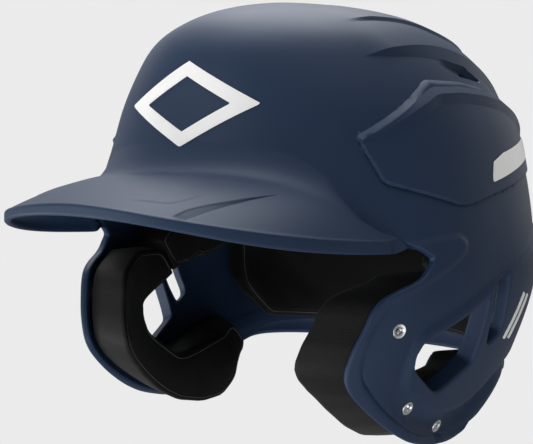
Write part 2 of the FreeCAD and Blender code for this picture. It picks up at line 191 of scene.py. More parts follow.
PANEL_TOP = round_corners(PANEL_UPPER, 1, closed=False, share=0.04)
PANEL_BOTTOM = round_corners(PANEL_LOWER, 1, closed=False, share=0.04)
RIDGE = round_corners([
    (-56, 149.9), (-37.5, 160.2), (-19.3, 168.9), (1.5, 170.9), (22, 170.9), (44, 169.5),
    (70, 164), (88, 156)], 1, closed=False, share=0.10)
EAR_SURROUND = round_corners([
    (60, 104.5), (14.3, 88.8), (-8.6, 78.6), (-24, 71.6), (-47.2, 61.6), (-51.4, 55),
    (-51.6, 38), (-47.6, 31.0), (-32.5, 22.0), (-15, 15.6), (4, 14.8), (20, 20.5), (44, 34.0),
    (74, 43.5), (110, 47.5), (150, 49), (150, 128), (112, 121), (84, 112)], share=0.2)
FLANGE = round_corners([
    (-120, 100.2), (-81.8, 100.3), (-60.2, 100.9), (-34.8, 105.0), (-26.0, 105.2),
    (-20.5, 101.6), (-22.2, 96.0), (-28.7, 91.4), (-58.3, 75.4), (-65.5, 71.4), (-71.3, 61.5),
    (-73.2, 50), (-72.6, 41.8), (-69.0, 35.0), (-56.3, 23.8), (-41.2, 15), (-28.7, 8.9),
    (-14.8, 5.4), (2.8, 4.7), (12, 4.9), (29.4, 8.9), (12, -10), (-40, -12), (-85, 20),
    (-100, 60), (-75, 85), (-55, 92), (-60, 96), (-120, 90)], share=0.2)
GROOVE = round_corners([
    (-72.5, 46), (-72.2, 41), (-69.6, 36.5), (-56.3, 24.2), (-41.2, 15.1), (-28.7, 8.9),
    (-14.8, 5.5), (2.8, 4.8), (17, 6.2), (29.4, 9.4), (48, 20.5), (60, 30.0), (74, 37),
    (100, 40), (150, 41)], closed=False)
VENT_POCKET = round_corners([
    (-4, 188.8), (8, 190.2), (30.8, 188.4), (41.5, 182.2), (38.5, 180.4), (8, 182.0)],
    1, share=0.08)
VENT = round_corners([
    (25.0, 186.6), (30.6, 186.4), (38.4, 182.1), (36.6, 181.2), (28.0, 181.7), (24.0, 183.6)],
    1, share=0.12)
SIDE_RIB_TOP = round_corners([
    (-50.2, 185.9), (-38.5, 189.4), (-23.3, 192.6), (0, 195.4), (26.3, 194.9), (58, 188),
    (84, 174), (100, 160)], closed=False)
SIDE_RIB_FOOT = round_corners([
    (-50.2, 185.9), (-40, 187.4), (-27.6, 188.3), (-8, 189.6), (16.8, 189.4), (44, 185.5),
    (70, 175), (94, 158)], closed=False)
INSERTS = [(-59.8, 61.3), (-38.9, 22.6), (-6.6, 9.1)]
LABEL = round_corners([
    (14.4, 141.2), (71.0, 153.6), (73.2, 152.4), (67.0, 143.4), (64.8, 142.4), (9.6, 128.9),
    (8.2, 129.8)], 1, share=0.2)
BARS = [[(24.5, 52.5), (28.0, 51.5), (37.5, 74.0), (34.0, 75.5)],
        [(31.5, 52.0), (35.0, 51.0), (44.5, 73.0), (41.0, 74.5)]]

# padding blocks
JAW = [(-23.6, 86.8), (-36, 86.2), (-45.2, 86.0), (-48.8, 84.9), (-53.4, 82.0), (-60.2, 79.2),
       (-65.4, 76.7), (-68.6, 74.4), (-70.7, 71.8), (-72.5, 68.0), (-74.5, 61.0), (-77.4, 52.2),
       (-78.6, 43.9), (-77.9, 38.8), (-75.1, 34.0), (-69.8, 28.6), (-58.8, 20.6), (-44.2, 12.2),
       (-30.0, 6.3), (-11.5, 3.2), (6, 4.6), (22, 11.5), (36, 20), (44.5, 26.5), (46.5, 31),
       (44.5, 37), (38.5, 42.3), (30, 41.0), (13.2, 35.6), (-8, 29.2), (-20.6, 26.4),
       (-27, 28.4), (-35.6, 33.9), (-41.4, 37.9), (-45.0, 42), (-45.6, 47), (-42.5, 54.5),
       (-34, 60.5), (-23.3, 63.6), (-11.6, 68.2), (-10.4, 71.4), (-13.2, 77.0), (-18.0, 83.8)]
FRONT = [(-125, 122.5), (-99, 121.5), (-86, 118.5), (-72, 114), (-58, 111.5), (-40, 109.5),
         (-24, 108), (-16, 110), (-16, 133), (-24, 142), (-60, 150), (-125, 152)]
SIDE = [(-22.3, 88.4), (-16.8, 84.6), (-12.2, 77.6), (-9.6, 71.2), (0, 72.4), (10, 76),
        (19, 79.4), (27, 82.6), (34, 85.4), (43, 89), (44, 94), (44, 128), (36, 138), (10, 142),
        (-5, 138), (-9, 131), (-10, 104), (-13.5, 99.0), (-17.6, 96.8), (-21.2, 92.4)]
REAR = [(56, 130), (56.4, 83.8), (55, 74.8), (54.7, 63.8), (59.1, 55.6), (64.4, 49.9),
        (69, 43.4), (76, 42.4), (140, 42.4), (140, 134), (66, 134)]

# ---- lines seen from above, as (distance from the middle plane, y)
OUTER_RIB = round_corners([
    (51, -44), (53, -30.5), (54, -18.8), (54.7, -6.3), (55.2, 8.2), (57.3, 20), (59.0, 32),
    (58, 50), (52, 74), (44, 90)], closed=False)
INNER_RIB = round_corners([
    (15.0, -10), (15.6, 10), (16.5, 35), (17.5, 60), (18.5, 85), (18, 105)], closed=False)
# line, height, width of the steep outer side, run where it fades out,
# spread towards the middle, and the x and y ranges in which it is cut
CROWN_RIBS = (
    (OUTER_RIB, 1.3, 2.0, (100, 138), 9.0, (40, 64), (-46, 92)),
    (INNER_RIB, 1.5, 2.2, (92, 118), 16.0, (11, 24), (-12, 104)))
# recessed slash of the bill, from front to back
SLASH_INNER = [(50.8, -157.5), (51.5, -149), (54.6, -139.5), (58.6, -129), (63.2, -115),
               (66.5, -104)]
SLASH_OUTER = [(55.5, -157.8), (57.7, -147.6), (59.6, -137), (62.3, -125), (66.5, -104)]
SLASH = SLASH_INNER[:1] + SLASH_OUTER + SLASH_INNER[-2:0:-1]
CREASE = round_corners([
    (22, -157), (34.5, -153.4), (42.6, -150.2), (45.4, -143.6), (48.0, -130), (52.0, -112)],
    closed=False, share=0.2)


# =====================================================================
# Base surface of the moulded shell, from the stations of the CAD model
# =====================================================================
# place down the shell, z, half width, front y, back y, power of the section curve
STATIONS = np.array([
    (0.000, 219.3,   0.0,    9.1,   9.1, 2.0),
    (0.060, 218.5,  18.8,  -25.0,  43.1, 2.0),
    (0.125, 214.9,  40.2,  -50.0,  66.2, 2.1),
    (0.190, 208.1,  56.3,  -70.2,  83.4, 2.1),
    (0.260, 197.4,  70.2,  -85.8,  98.6, 2.2),
    (0.340, 182.2,  83.2,  -94.0, 111.0, 2.2),
    (0.430, 161.8,  95.8,  -96.5, 120.4, 2.3),
    (0.520, 139.3, 103.8,  -99.8, 123.4, 2.3),
    (0.620, 112.0, 111.1, -104.2, 118.9, 2.4),
    (0.740,  78.0, 113.3, -109.1, 112.6, 2.5),
    (0.870,  38.0, 100.7, -114.8, 106.2, 2.6),
    (1.000,  -4.0,  84.7, -104.5,  96.3, 2.7)])
KNOTS, VALUES = STATIONS[:, 0], STATIONS[:, 1:]


def spline_curvature(knots, values):
    """Second derivatives of the natural cubic spline through the stations."""
    count = len(knots)
    matrix = np.zeros((count, count))
    matrix[0, 0] = matrix[-1, -1] = 1
    right = np.zeros((count, values.shape[1]))
    for i in range(1, count - 1):
        before, after = knots[i] - knots[i - 1], knots[i + 1] - knots[i]
        matrix[i, i - 1:i + 2] = before, 2 * (before + after), after
        right[i] = 6 * ((values[i + 1] - values[i]) / after
                        - (values[i] - values[i - 1]) / before)
    return np.linalg.solve(matrix, right)


CURVATURE = spline_curvature(KNOTS, VALUES)
LAST_GAP = KNOTS[-1] - KNOTS[-2]
END_SLOPE = ((VALUES[-1] - VALUES[-2]) / LAST_GAP
             + LAST_GAP * (CURVATURE[-2] + 2 * CURVATURE[-1]) / 6)


def station(down):
    """Station values at a place down the shell, straight on below the last one."""
    down = np.asarray(down, float)
    held = np.minimum(down, KNOTS[-1])
    i = np.clip(np.searchsorted(KNOTS, held, side="right") - 1, 0, len(KNOTS) - 2)
    gap = (KNOTS[i + 1] - KNOTS[i])[..., None]
    upper = (KNOTS[i + 1] - held)[..., None] / gap
    lower = (held - KNOTS[i])[..., None] / gap
    bend = (upper ** 3 - upper) * CURVATURE[i] + (lower ** 3 - lower) * CURVATURE[i + 1]
    value = upper * VALUES[i] + lower * VALUES[i + 1] + bend * gap * gap / 6
    return value + np.maximum(down - KNOTS[-1], 0)[..., None] * END_SLOPE


# "around" in 0..1 runs round the section from the back, evenly by arc length
ARC_POWER = 2.4            # section curve by which the arc length is taken
ARC_ANGLE = np.linspace(0, 2 * np.pi, 8001)
ARC_SHARE = run_length(np.stack([signed_power(np.sin(ARC_ANGLE), 2 / ARC_POWER),
                                 -signed_power(np.cos(ARC_ANGLE), 2 / ARC_POWER)], 1))
ARC_SHARE /= ARC_SHARE[-1]


def surface(around, down):
    height, half_width, front, back, power = np.moveaxis(station(down), -1, 0)
    half_width = np.maximum(half_width, 0)
    half_length = np.maximum(0.5 * (back - front), 0)
    angle = np.interp(np.mod(around, 1.0), ARC_SHARE, ARC_ANGLE) + np.pi
    x = half_width * signed_power(np.sin(angle), 2 / power)
    y = 0.5 * (front + back) - half_length * signed_power(np.cos(angle), 2 / power)
    return np.stack([x, y, height], -1)


def section_value(points, down):
    """1 on the section curve at a place down the shell, less inside it."""
    _, half_width, front, back, power = np.moveaxis(station(down), -1, 0)
    half_width = np.maximum(half_width, 1e-6)
    half_length = np.maximum(0.5 * (back - front), 1e-6)
    middle = 0.5 * (back + front)
    return (np.abs(points[..., 0] / half_width) ** power
            + np.abs((points[..., 1] - middle) / half_length) ** power)


def surface_normals(around, down):
    """Unit normals from the implicit section curve and the profile slope."""
    down = np.maximum(down, 0.004)
    points = surface(around, down)
    move, drop = 1e-3, 5e-4            # steps of the differences
    slope = [(section_value(points + axis, down) - section_value(points - axis, down))
             / (2 * move) for axis in np.array([[move, 0, 0], [0, move, 0]])]
    z_slope = (station(down + drop)[..., 0] - station(down - drop)[..., 0]) / (2 * drop)
    z_slope = np.where(np.abs(z_slope) < 1e-6, -1e-6, z_slope)
    change = (section_value(points, down + drop)
              - section_value(points, down - drop)) / (2 * drop)
    return unit(np.stack([*slope, change / z_slope], -1))


def surface_point(y, z):
    """Base point and normal on the left side at (y, z)."""
    # found on the right half, near a grid point and then by Newton steps, and mirrored
    around, down = [grid.ravel() for grid in np.meshgrid(np.linspace(0.02, 0.48, 461),
                                                         np.linspace(0.3, 1.02, 721))]
    points = surface(around, down)
    k = ((points[:, 1] - y) ** 2 + (points[:, 2] - z) ** 2).argmin()
    around, down = around[k], down[k]
    step = 1e-4
    for _ in range(12):
        here, beyond, below = surface(np.array([around, around + step, around]),
                                      np.array([down, down, down + step]))[:, 1:]
        slopes = np.stack([(beyond - here) / step, (below - here) / step], 1)
        move = np.linalg.solve(slopes, np.array([y, z]) - here)
        around += move[0]
        down += move[1]
    place = np.array([around]), np.array([down])
    return surface(*place)[0] * MIRROR, surface_normals(*place)[0] * MIRROR


INSERT_PLACES = [surface_point(y, z) for y, z in INSERTS]


def insert_distance(points):
    """Distance to the nearest insert on either side."""
    centres = [centre * [side, 1, 1] for centre, _ in INSERT_PLACES for _, side in SIDES]
    return np.min([np.linalg.norm(points - centre, axis=1) for centre in centres], axis=0)


# =====================================================================
# Relief of the outer face, outwards, at base points
# =====================================================================
PANEL_HEIGHT = 1.9
PANEL_SINK = 0.7           # drop from the beads to the field of the panel
PANEL_BEVEL = 2.8          # bevel along the upper edge
PANEL_BEAD = 1.0           # rise along the lower edge
RIDGE_HEIGHT = 1.35
RIDGE_ABOVE, RIDGE_BELOW = 3.9, 4.2    # width of the ridge on either side
SURROUND_HEIGHT, SURROUND_SLOPE = 2.2, 3.4
VALLEY_DEPTH, VALLEY_SLOPE, VALLEY_SPREAD = 2.3, 4.5, 4.0
FLARE = 3.0                # outward flare of the lower edge
FLANGE_HEIGHT, FLANGE_SLOPE, FLANGE_LOW_HEIGHT = 1.5, 2.6, 0.5
GROOVE_DEPTH, GROOVE_HALF_WIDTH = 0.75, 1.0
RIB_HEIGHT, RIB_SPREAD, RIB_DIP, RIB_DIP_SPREAD = 2.0, 11.0, 0.5, 5.0
POCKET_DEPTH, POCKET_SLOPE = 3.0, 1.3


def panel_relief(base):
    """Raised side panel: wide bevel above, beaded edge below, a second ridge inside."""
    spot = yz(base)
    within = inside(spot, PANEL)
    from_top, from_bottom = beside(spot, PANEL_TOP)[0], beside(spot, PANEL_BOTTOM)[0]
    # the ridge line runs backwards, so its left is above
    from_ridge, side, run = beside(spot, RIDGE)
    below = side < 0
    off_ridge = clip01(from_ridge / np.where(below, RIDGE_BELOW, RIDGE_ABOVE))
    field = PANEL_HEIGHT - np.where(below, PANEL_SINK * off_ridge, 0)
    crest = RIDGE_HEIGHT * ramp(run, 1, 30) * (1 - ramp(run, 145, 166)) * (1 - off_ridge)
    bevel = PANEL_HEIGHT * clip01(from_top / PANEL_BEVEL)
    bead = PANEL_HEIGHT - (PANEL_SINK * clip01((from_bottom - PANEL_BEAD) / 2.8)
                           * clip01(from_ridge / 12))
    bead = np.where(from_bottom < PANEL_BEAD, PANEL_HEIGHT * from_bottom, bead)
    raised = np.minimum(np.minimum(bevel, bead), field) + crest
    # the panel is lower at its back end
    height = np.where(within > 0, raised, 0) * (1 - 0.65 * ramp(spot[:, 0], 84, 102))
    # soft shadow gap just outside the lower edge
    gap = (within < 0) & (from_bottom < 3.0)
    return height - np.where(gap, 0.5 * (1 - from_bottom / 3.0) ** 2, 0)


def ear_relief(base):
    """Raised surround of the ear opening, a valley below it, and the flare of the rim."""
    spot = yz(base)
    y, z = spot.T
    within = inside(spot, EAR_SURROUND)
    rear = 1 - 0.9 * ramp(y, 62, 104)
    outside = np.maximum(-within, 0)
    beyond = np.maximum(outside - VALLEY_SLOPE, 0)
    valley = ramp(outside, 0, VALLEY_SLOPE) * np.exp(-(beyond / VALLEY_SPREAD) ** 2)
    valley *= ramp(z, 78, 36) * ramp(y, -56, -24)
    flare = ramp(inside(spot, RIM), 14, 3) * ramp(z, 66, 44) * ramp(y, -72, -30)
    return (SURROUND_HEIGHT * ramp(within, 0, SURROUND_SLOPE) * rear
            - VALLEY_DEPTH * valley * rear + FLARE * flare)


def flange_relief(base):
    """Flange round the front opening, thinner along the lower edge."""
    spot = yz(base)
    y, z = spot.T
    within = inside(spot, FLANGE)
    upper = ramp(z, 36, 56)
    return (upper * FLANGE_HEIGHT * ramp(within, 0, FLANGE_SLOPE) * ramp(y, -92, -66)
            + (1 - upper) * FLANGE_LOW_HEIGHT * ramp(within, 0.3, 1.3) * (y < 62))


def groove_relief(base):
    """Fine groove along the lower edge."""
    distance, _, run = beside(yz(base), GROOVE)
    return -GROOVE_DEPTH * clip01(1 - distance / GROOVE_HALF_WIDTH) * ramp(run, 0, 8)


def side_rib_relief(base):
    """Stepped rib on the side of the crown."""
    top, top_side, run = beside(yz(base), SIDE_RIB_TOP)
    foot, foot_side, _ = beside(yz(base), SIDE_RIB_FOOT)
    above_top, above_foot = top_side > 0, foot_side > 0
    fade = ramp(run, 0, 20) * (1 - ramp(run, 120, 165))
    climb = clip01(foot / np.maximum(top + foot, 1e-6))
    rise = np.where(above_top, np.exp(-top / RIB_SPREAD), np.where(above_foot, climb, 0))
    dip = np.where(above_foot, 1 - np.where(above_top, 1, climb),
                   np.exp(-foot / RIB_DIP_SPREAD))
    return fade * (RIB_HEIGHT * rise - RIB_DIP * dip)


def crown_rib_relief(base):
    """Stepped ribs that run along the top of the crown."""
    height = np.zeros(len(base))
    for line, rib_height, width, fade, spread, *_ in CROWN_RIBS:
        distance, side, run = beside(plan(base), line)
        shape = np.where(side > 0, np.exp(-distance / spread), clip01(1 - distance / width))
        height += rib_height * ramp(run, 0, 22) * (1 - ramp(run, *fade)) * shape
    return height


def vent_relief(base):
    """Pocket of the crown vent, deeper towards the back."""
    within = inside(yz(base), VENT_POCKET)
    return -clip01(within / POCKET_SLOPE) * POCKET_DEPTH * ramp(base[:, 1], -8, 26)


RELIEFS = (
    (zone(x=(30, FAR), z=(105, 190)), panel_relief),
    (zone(z=(-FAR, 132)), ear_relief),
    (zone(y=(-FAR, 70), z=(-FAR, 112)), flange_relief),
    (zone(z=(-FAR, 60)), groove_relief),
    (zone(x=(30, FAR), z=(150, FAR)), side_rib_relief),
    (zone(z=(150, FAR)), crown_rib_relief),
    (zone(x=(40, FAR), z=(170, 200)), vent_relief))


def relief(base):
    height = np.zeros(len(base))
    for region, part in RELIEFS:
        here = region(base)
        if here.any():
            height[here] += part(base[here])
    # flat seats round the threaded inserts
    low = base[:, 2] < 80
    for y, z in INSERTS:
        height[low] *= ramp(np.hypot(base[low, 1] - y, base[low, 2] - z), 3.6, 7.0)
    return height


# =====================================================================
# Triangle patch that can be cut along level lines
# =====================================================================
GRID_GIRTH, GRID_DROP = 700, 330       # divided by the spacing these give the grid counts
GRID_START = 0.012                     # first row below the crown point


def triangle_edges(faces):
    return np.concatenate([faces[:, [0, 1]], faces[:, [1, 2]], faces[:, [2, 0]]])


def split_faces(faces, edges, first, count):
    """Split triangles at new points, numbered from first, on the crossed edges."""
    key = edges[:, 0].astype(np.int64) * count + edges[:, 1]
    order = np.argsort(key)
    key = key[order]
    new_point = (first + np.arange(len(edges)))[order]

    def look(start, end):
        wanted = np.minimum(start, end).astype(np.int64) * count + np.maximum(start, end)
        j = np.clip(np.searchsorted(key, wanted), 0, len(key) - 1)
        return np.where(key[j] == wanted, new_point[j], -1)

    mids = np.stack([look(faces[:, i], faces[:, (i + 1) % 3]) for i in range(3)], 1)
    crossings = (mids >= 0).sum(1)
    result = [faces[crossings == 0]]
    # one crossed edge: split through the opposite corner
    for i in range(3):
        chosen = (crossings == 1) & (mids[:, i] >= 0)
        start, end, tip = [faces[chosen, (i + j) % 3] for j in range(3)]
        mid = mids[chosen, i]
        result += [np.stack([start, mid, tip], 1), np.stack([mid, end, tip], 1)]
    # two crossed edges: the shared corner is cut off
    for i in range(3):
        chosen = (crossings == 2) & (mids[:, i] >= 0) & (mids[:, (i + 2) % 3] >= 0)
        corner, second, third = [faces[chosen, (i + j) % 3] for j in range(3)]
        mid, last_mid = mids[chosen, i], mids[chosen, (i + 2) % 3]
        result += [np.stack([corner, mid, last_mid], 1), np.stack([mid, second, third], 1),
                   np.stack([mid, third, last_mid], 1)]
    return np.concatenate(result)


def largest_part(faces, count):
    """Keep the biggest connected piece of a triangle list."""
    label = np.arange(count)
    for _ in range(400):
        lowest = label[faces].min(1)
        new = label.copy()
        for i in range(3):
            np.minimum.at(new, faces[:, i], lowest)
        new = new[new]
        if (new == label).all():
            break
        label = new
    sizes = np.bincount(label[faces[:, 0]], minlength=count)
    return faces[label[faces[:, 0]] == sizes.argmax()]


class Patch:
    """Triangles on the base surface, with points held as (around, down)."""

    def __init__(self, spacing, end):
        columns, rows = int(GRID_GIRTH / spacing), int(GRID_DROP / spacing)
        # rows are spaced evenly down the side
        trial = np.linspace(GRID_START, end, 600)
        length = run_length(surface(np.full(600, 0.25), trial))
        levels = np.interp(np.linspace(0, length[-1], rows), length, trial)
        around, down = np.meshgrid(np.linspace(0, 1, columns + 1), levels)
        # the crown point comes last
        top = around.size
        self.around = np.append(around.ravel(), 0.5)
        self.down = np.append(down.ravel(), 0.0)
        self.locked = np.zeros(top + 1, bool)
        self.locked[top] = True
        index = np.arange(top).reshape(rows, columns + 1)
        upper, upper_next = index[:-1, :-1].ravel(), index[:-1, 1:].ravel()
        lower_next, lower = index[1:, 1:].ravel(), index[1:, :-1].ravel()
        even = (np.add.outer(np.arange(rows - 1), np.arange(columns)) % 2 == 0).ravel()[:, None]
        self.faces = np.concatenate([
            np.where(even, np.stack([upper, lower, lower_next], 1),
                     np.stack([upper, lower, upper_next], 1)),
            np.where(even, np.stack([upper, lower_next, upper_next], 1),
                     np.stack([upper_next, lower, lower_next], 1)),
            np.stack([index[0, :-1], index[0, 1:], np.full(columns, top)], 1)])

    def points(self):
        return surface(self.around, self.down)

    def along(self, edges, share):
        """Place (around, down) at a share of the way along edges."""
        start, end = edges.T
        return (self.around[start] * (1 - share) + self.around[end] * share,
                self.down[start] * (1 - share) + self.down[end] * share)

    def crossing(self, edges, values, level):
        """Share of the way along each edge at which the level is zero."""
        low_value, high_value = values[edges[:, 0]], values[edges[:, 1]]
        low, high = np.zeros(len(edges)), np.ones(len(edges))
        share = low_value / (low_value - high_value)
        for _ in range(5):
            value = level(surface(*self.along(edges, share)))
            same = np.sign(value) == np.sign(low_value)
            low, low_value = np.where(same, share, low), np.where(same, value, low_value)
            high, high_value = np.where(same, high, share), np.where(same, high_value, value)
            fall = low_value - high_value
            flat = np.abs(fall) < 1e-12
            share = np.where(flat, 0.5 * (low + high),
                             low + (high - low) * low_value / np.where(flat, 1, fall))
        return share

    def snap_points(self, edges, values, level, snap):
        """Move free points onto the line where it passes close to them."""
        share = self.crossing(edges, values, level)
        closest = np.full(len(self.around), 9.0)
        around, down = self.around.copy(), self.down.copy()
        for column, from_point in ((0, share), (1, 1 - share)):
            # the nearest crossing is written last, so it is the one that stays
            order = np.argsort(-from_point)
            point, offset = edges[order, column], from_point[order]
            chosen = (offset < snap) & ~self.locked[point] & (offset < closest[point])
            point = point[chosen]
            closest[point] = offset[chosen]
            around[point], down[point] = self.along(edges[order][chosen], share[order][chosen])
        # points on the seam keep their place
        moved = (closest < 9) & (self.around != 0) & (self.around != 1)
        self.around[moved], self.down[moved] = around[moved], down[moved]
        self.locked[moved] = True
        values[moved] = 0.0
        values[np.abs(values) < 1e-9] = 0.0

    def cut(self, level, region=zone(), snap=0.16):
        """Insert the line where level(base points) is zero; return the level at each point."""
        points = self.points()
        active = region(points)
        values = np.full(len(points), 1e9)
        values[active] = level(points[active])
        edges = np.unique(np.sort(triangle_edges(self.faces), axis=1), axis=0)
        edges = edges[active[edges].all(1)]
        crossed = edges[values[edges[:, 0]] * values[edges[:, 1]] < 0]
        if len(crossed):
            self.snap_points(crossed, values, level, snap)
        sign = np.sign(values)
        crossed = edges[sign[edges[:, 0]] * sign[edges[:, 1]] < 0]
        if len(crossed):
            around, down = self.along(crossed, self.crossing(crossed, values, level))
            first = len(self.around)
            self.around = np.concatenate([self.around, around])
            self.down = np.concatenate([self.down, down])
            self.locked = np.concatenate([self.locked, np.ones(len(crossed), bool)])
            values = np.concatenate([values, np.zeros(len(crossed))])
            self.faces = split_faces(self.faces, crossed, first, len(self.around))
        return values

    def trim(self, level, region=zone(), snap=0.22):
        """Cut along the line and drop the negative side."""
        values = self.cut(level, region, snap)
        corners = np.where(np.abs(values) < 1e-7, 0, values)[self.faces]
        negative = (corners < 0).any(1)
        # faces with all corners on the line are tested in the middle
        flat = np.where((corners == 0).all(1))[0]
        if len(flat):
            middle = surface(self.around[self.faces[flat]].mean(1),
                             self.down[self.faces[flat]].mean(1))
            negative[flat[level(middle) < 0]] = True
        self.faces = self.faces[~negative]

    def crop(self, region):
        """Keep the triangles that lie in a region with all corners."""
        self.faces = self.faces[region(self.points())[self.faces].all(1)]

    def keep_points(self, chosen):
        self.around, self.down = self.around[chosen], self.down[chosen]
        self.locked = self.locked[chosen]

    def close(self, one_piece=True):
        """Weld the seam, drop loose parts and unused points."""
        self.around = np.mod(self.around, 1.0)
        used = np.unique(self.faces)
        key = np.round(self.points() / 2e-4).astype(np.int64)
        _, first, inverse = np.unique(key[used], axis=0, return_index=True,
                                      return_inverse=True)
        lookup = np.full(len(self.around), -1)
        lookup[used] = inverse.ravel()
        self.keep_points(used[first])
        faces = lookup[self.faces]
        faces = faces[(faces != np.roll(faces, 1, 1)).all(1)]
        if one_piece:
            faces = largest_part(faces, len(self.around))
        used, inverse = np.unique(faces, return_inverse=True)
        self.faces = inverse.reshape(-1, 3)
        self.keep_points(used)

    def base_and_normals(self):
        return self.points(), surface_normals(self.around, self.down)


def open_level(line, offset=0.0, view=yz):
    """Level function: signed distance to an open line, less an offset."""
    def level(points):
        distance, side, _ = beside(view(points), line)
        return distance * side - offset
    return level


def closed_level(outline, offset=0.0, sign=1):
    """Level function: distance inside an outline (outside for sign -1), less an offset."""
    return lambda points: sign * inside(yz(points), outline) - offset


# =====================================================================
# Mesh helpers
# =====================================================================
def facing(faces, points, direction):
    """Turn all triangles over if they face against the direction at their corners."""
    first, second, third = points[faces.T]
    normal = np.cross(second - first, third - first)
    return faces[:, ::-1] if (normal * direction[faces[:, 0]]).sum() < 0 else faces


def boundary_loops(faces):
    """Loops of boundary edges, running as in the triangles."""
    count = int(faces.max()) + 1
    edges = triangle_edges(faces)
    key = edges[:, 0].astype(np.int64) * count + edges[:, 1]
    reverse = edges[:, 1].astype(np.int64) * count + edges[:, 0]
    following = {}
    for start, end in edges[~np.isin(key, reverse)]:
        following.setdefault(int(start), []).append(int(end))
    loops = []
    while following:
        first = here = next(iter(following))
        loop = [first]
        while True:
            after = following[here].pop()
            if not following[here]:
                del following[here]
            if after == first:
                break
            loop.append(after)
            here = after
            if here not in following:
                break
        loops.append(np.array(loop))
    return loops


def loop_edges(loop):
    return np.stack([loop, np.roll(loop, -1)], 1)


def crease_edges(points, faces, locked, degrees):
    """Edges on feature lines whose two triangles turn by more than an angle."""
    first, second, third = points[faces.T]
    normal = np.cross(second - first, third - first)
    size = np.linalg.norm(normal, axis=1)
    normal = unit(normal)
    edges = np.sort(triangle_edges(faces), axis=1)
    owner = np.tile(np.arange(len(faces)), 3)
    key = edges[:, 0].astype(np.int64) * len(points) + edges[:, 1]
    order = np.argsort(key, kind="stable")
    key, owner, edges = key[order], owner[order], edges[order]
    shared = np.where(key[1:] == key[:-1])[0]
    one, other = owner[shared], owner[shared + 1]
    turn = np.degrees(np.arccos(np.clip((normal[one] * normal[other]).sum(1), -1, 1)))
    edges = edges[shared]
    return edges[(turn > degrees) & locked[edges].all(1)
                 & (size[one] > 1e-3) & (size[other] > 1e-3)]


def outward(loop_points, normals):
    """Direction out of the sheet across its boundary: tangent x normal."""
    tangent = soften(np.roll(loop_points, -1, 0) - np.roll(loop_points, 1, 0), 2)
    return unit(np.cross(tangent, normals))


def wall_faces(loop, sheet_count, steps=1, first=0):
    """Quads from a loop to its twin in the second sheet, over rows numbered from first."""
    rows = first + np.arange(len(loop) * (steps - 1)).reshape(len(loop), steps - 1)
    grid = np.concatenate([loop[:, None], rows, (loop + sheet_count)[:, None]], 1)
    after = np.roll(grid, -1, 0)
    return np.stack([grid[:, :-1], grid[:, 1:], after[:, 1:], after[:, :-1]],
                    -1).reshape(-1, 4)


def make_object(name, vertices, faces, material, sharp=()):
    """Smooth-shaded object from points in mm and a list of face arrays."""
    mesh = bpy.data.meshes.new(name)
    faces = [np.asarray(part, np.int64) for part in faces if len(part)]
    corners = np.concatenate([part.ravel() for part in faces]).astype(np.int32)
    sizes = np.concatenate([np.full(len(part), part.shape[1]) for part in faces])
    starts = np.concatenate([[0], np.cumsum(sizes)[:-1]])
    mesh.vertices.add(len(vertices))
    mesh.vertices.foreach_set("co", ((np.asarray(vertices) + OFFSET) * MM).ravel())
    mesh.loops.add(len(corners))
    mesh.loops.foreach_set("vertex_index", corners)
    mesh.polygons.add(len(sizes))
    mesh.polygons.foreach_set("loop_start", starts.astype(np.int32))
    mesh.polygons.foreach_set("loop_total", sizes.astype(np.int32))
    mesh.polygons.foreach_set("use_smooth", np.full(len(sizes), True))
    mesh.update(calc_edges=True)
    if len(sharp):
        ends = np.empty(len(mesh.edges) * 2, np.int32)
        mesh.edges.foreach_get("vertices", ends)
        count = len(vertices) + 1
        key, wanted = [pairs[:, 0] * count + pairs[:, 1] for pairs in
                       (np.sort(ends.reshape(-1, 2), axis=1).astype(np.int64),
                        np.sort(sharp, axis=1).astype(np.int64))]
        attribute = mesh.attributes.new("sharp_edge", "BOOLEAN", "EDGE")
        attribute.data.foreach_set("value", np.isin(key, wanted))
    mesh.validate()
    ob = bpy.data.objects.new(name, mesh)
    bpy.context.scene.collection.objects.link(ob)
    mesh.materials.append(material)
    return ob


def attach(ob, node_name):
    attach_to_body(ob, "root")
    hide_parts(node_name)


# =====================================================================
# Bill: plan outline, top height, recessed lines
# =====================================================================
BILL_HALF = 100.2
BILL_TIP, BILL_END = -168.8, -45.9     # y at the front of the bill and where it ends
BILL_POWERS = 2.84, 2.11               # of the plan outline, across and along
BILL_CENTRE_Y = -30                    # bill angles are taken about this point
EDGE_HEIGHT = 109.22, -11.9, -11.44, 9.78      # polynomial in (x / 100) squared
# coefficients of 1, Y, X, XX, XY, XXY and YY for the top, see bill_top
TOP_HEIGHT = 114.556, 36.6, -25.469, -24.146, 34.647, -15.488, -21.075
BILL_THICKNESS = 3.2
UNDER_GAP = 0.5                        # extra thickness beside the lip
LIP_WIDTH = 3.2
LIP_FLARE = 0.3                        # the lip widens by this towards its root
LIP_ROUND, FOOT_ROUND = 1.3, 1.1       # rounding of the lip's top edge and foot


def bill_edge(share):
    """Lower edge of the lip; share runs from -1 to 1 across the bill."""
    across, along = BILL_POWERS
    x = BILL_HALF * share
    depth = np.maximum(0, 1 - np.abs(share) ** across) ** (1 / along)
    y = BILL_END - (BILL_END - BILL_TIP) * depth
    square = (x / 100) ** 2
    flat, first, second, third = EDGE_HEIGHT
    return np.stack([x, y, flat + first * square + second * square ** 2
                     + third * square ** 3], -1)


def bill_top(x, y):
    across, along = (x / 100.0) ** 2, (y - BILL_TIP) / 100.0
    terms = (1, along, across, across * across, across * along, across * across * along,
             along * along)
    return sum(factor * term for factor, term in zip(TOP_HEIGHT, terms))


def bill_angle(x, y):
    return np.arctan2(x, BILL_CENTRE_Y - y)


EDGE_SHARES = np.sin(np.linspace(-np.pi / 2, np.pi / 2, 4001))
EDGE_ANGLES = bill_angle(*bill_edge(EDGE_SHARES)[:, :2].T)


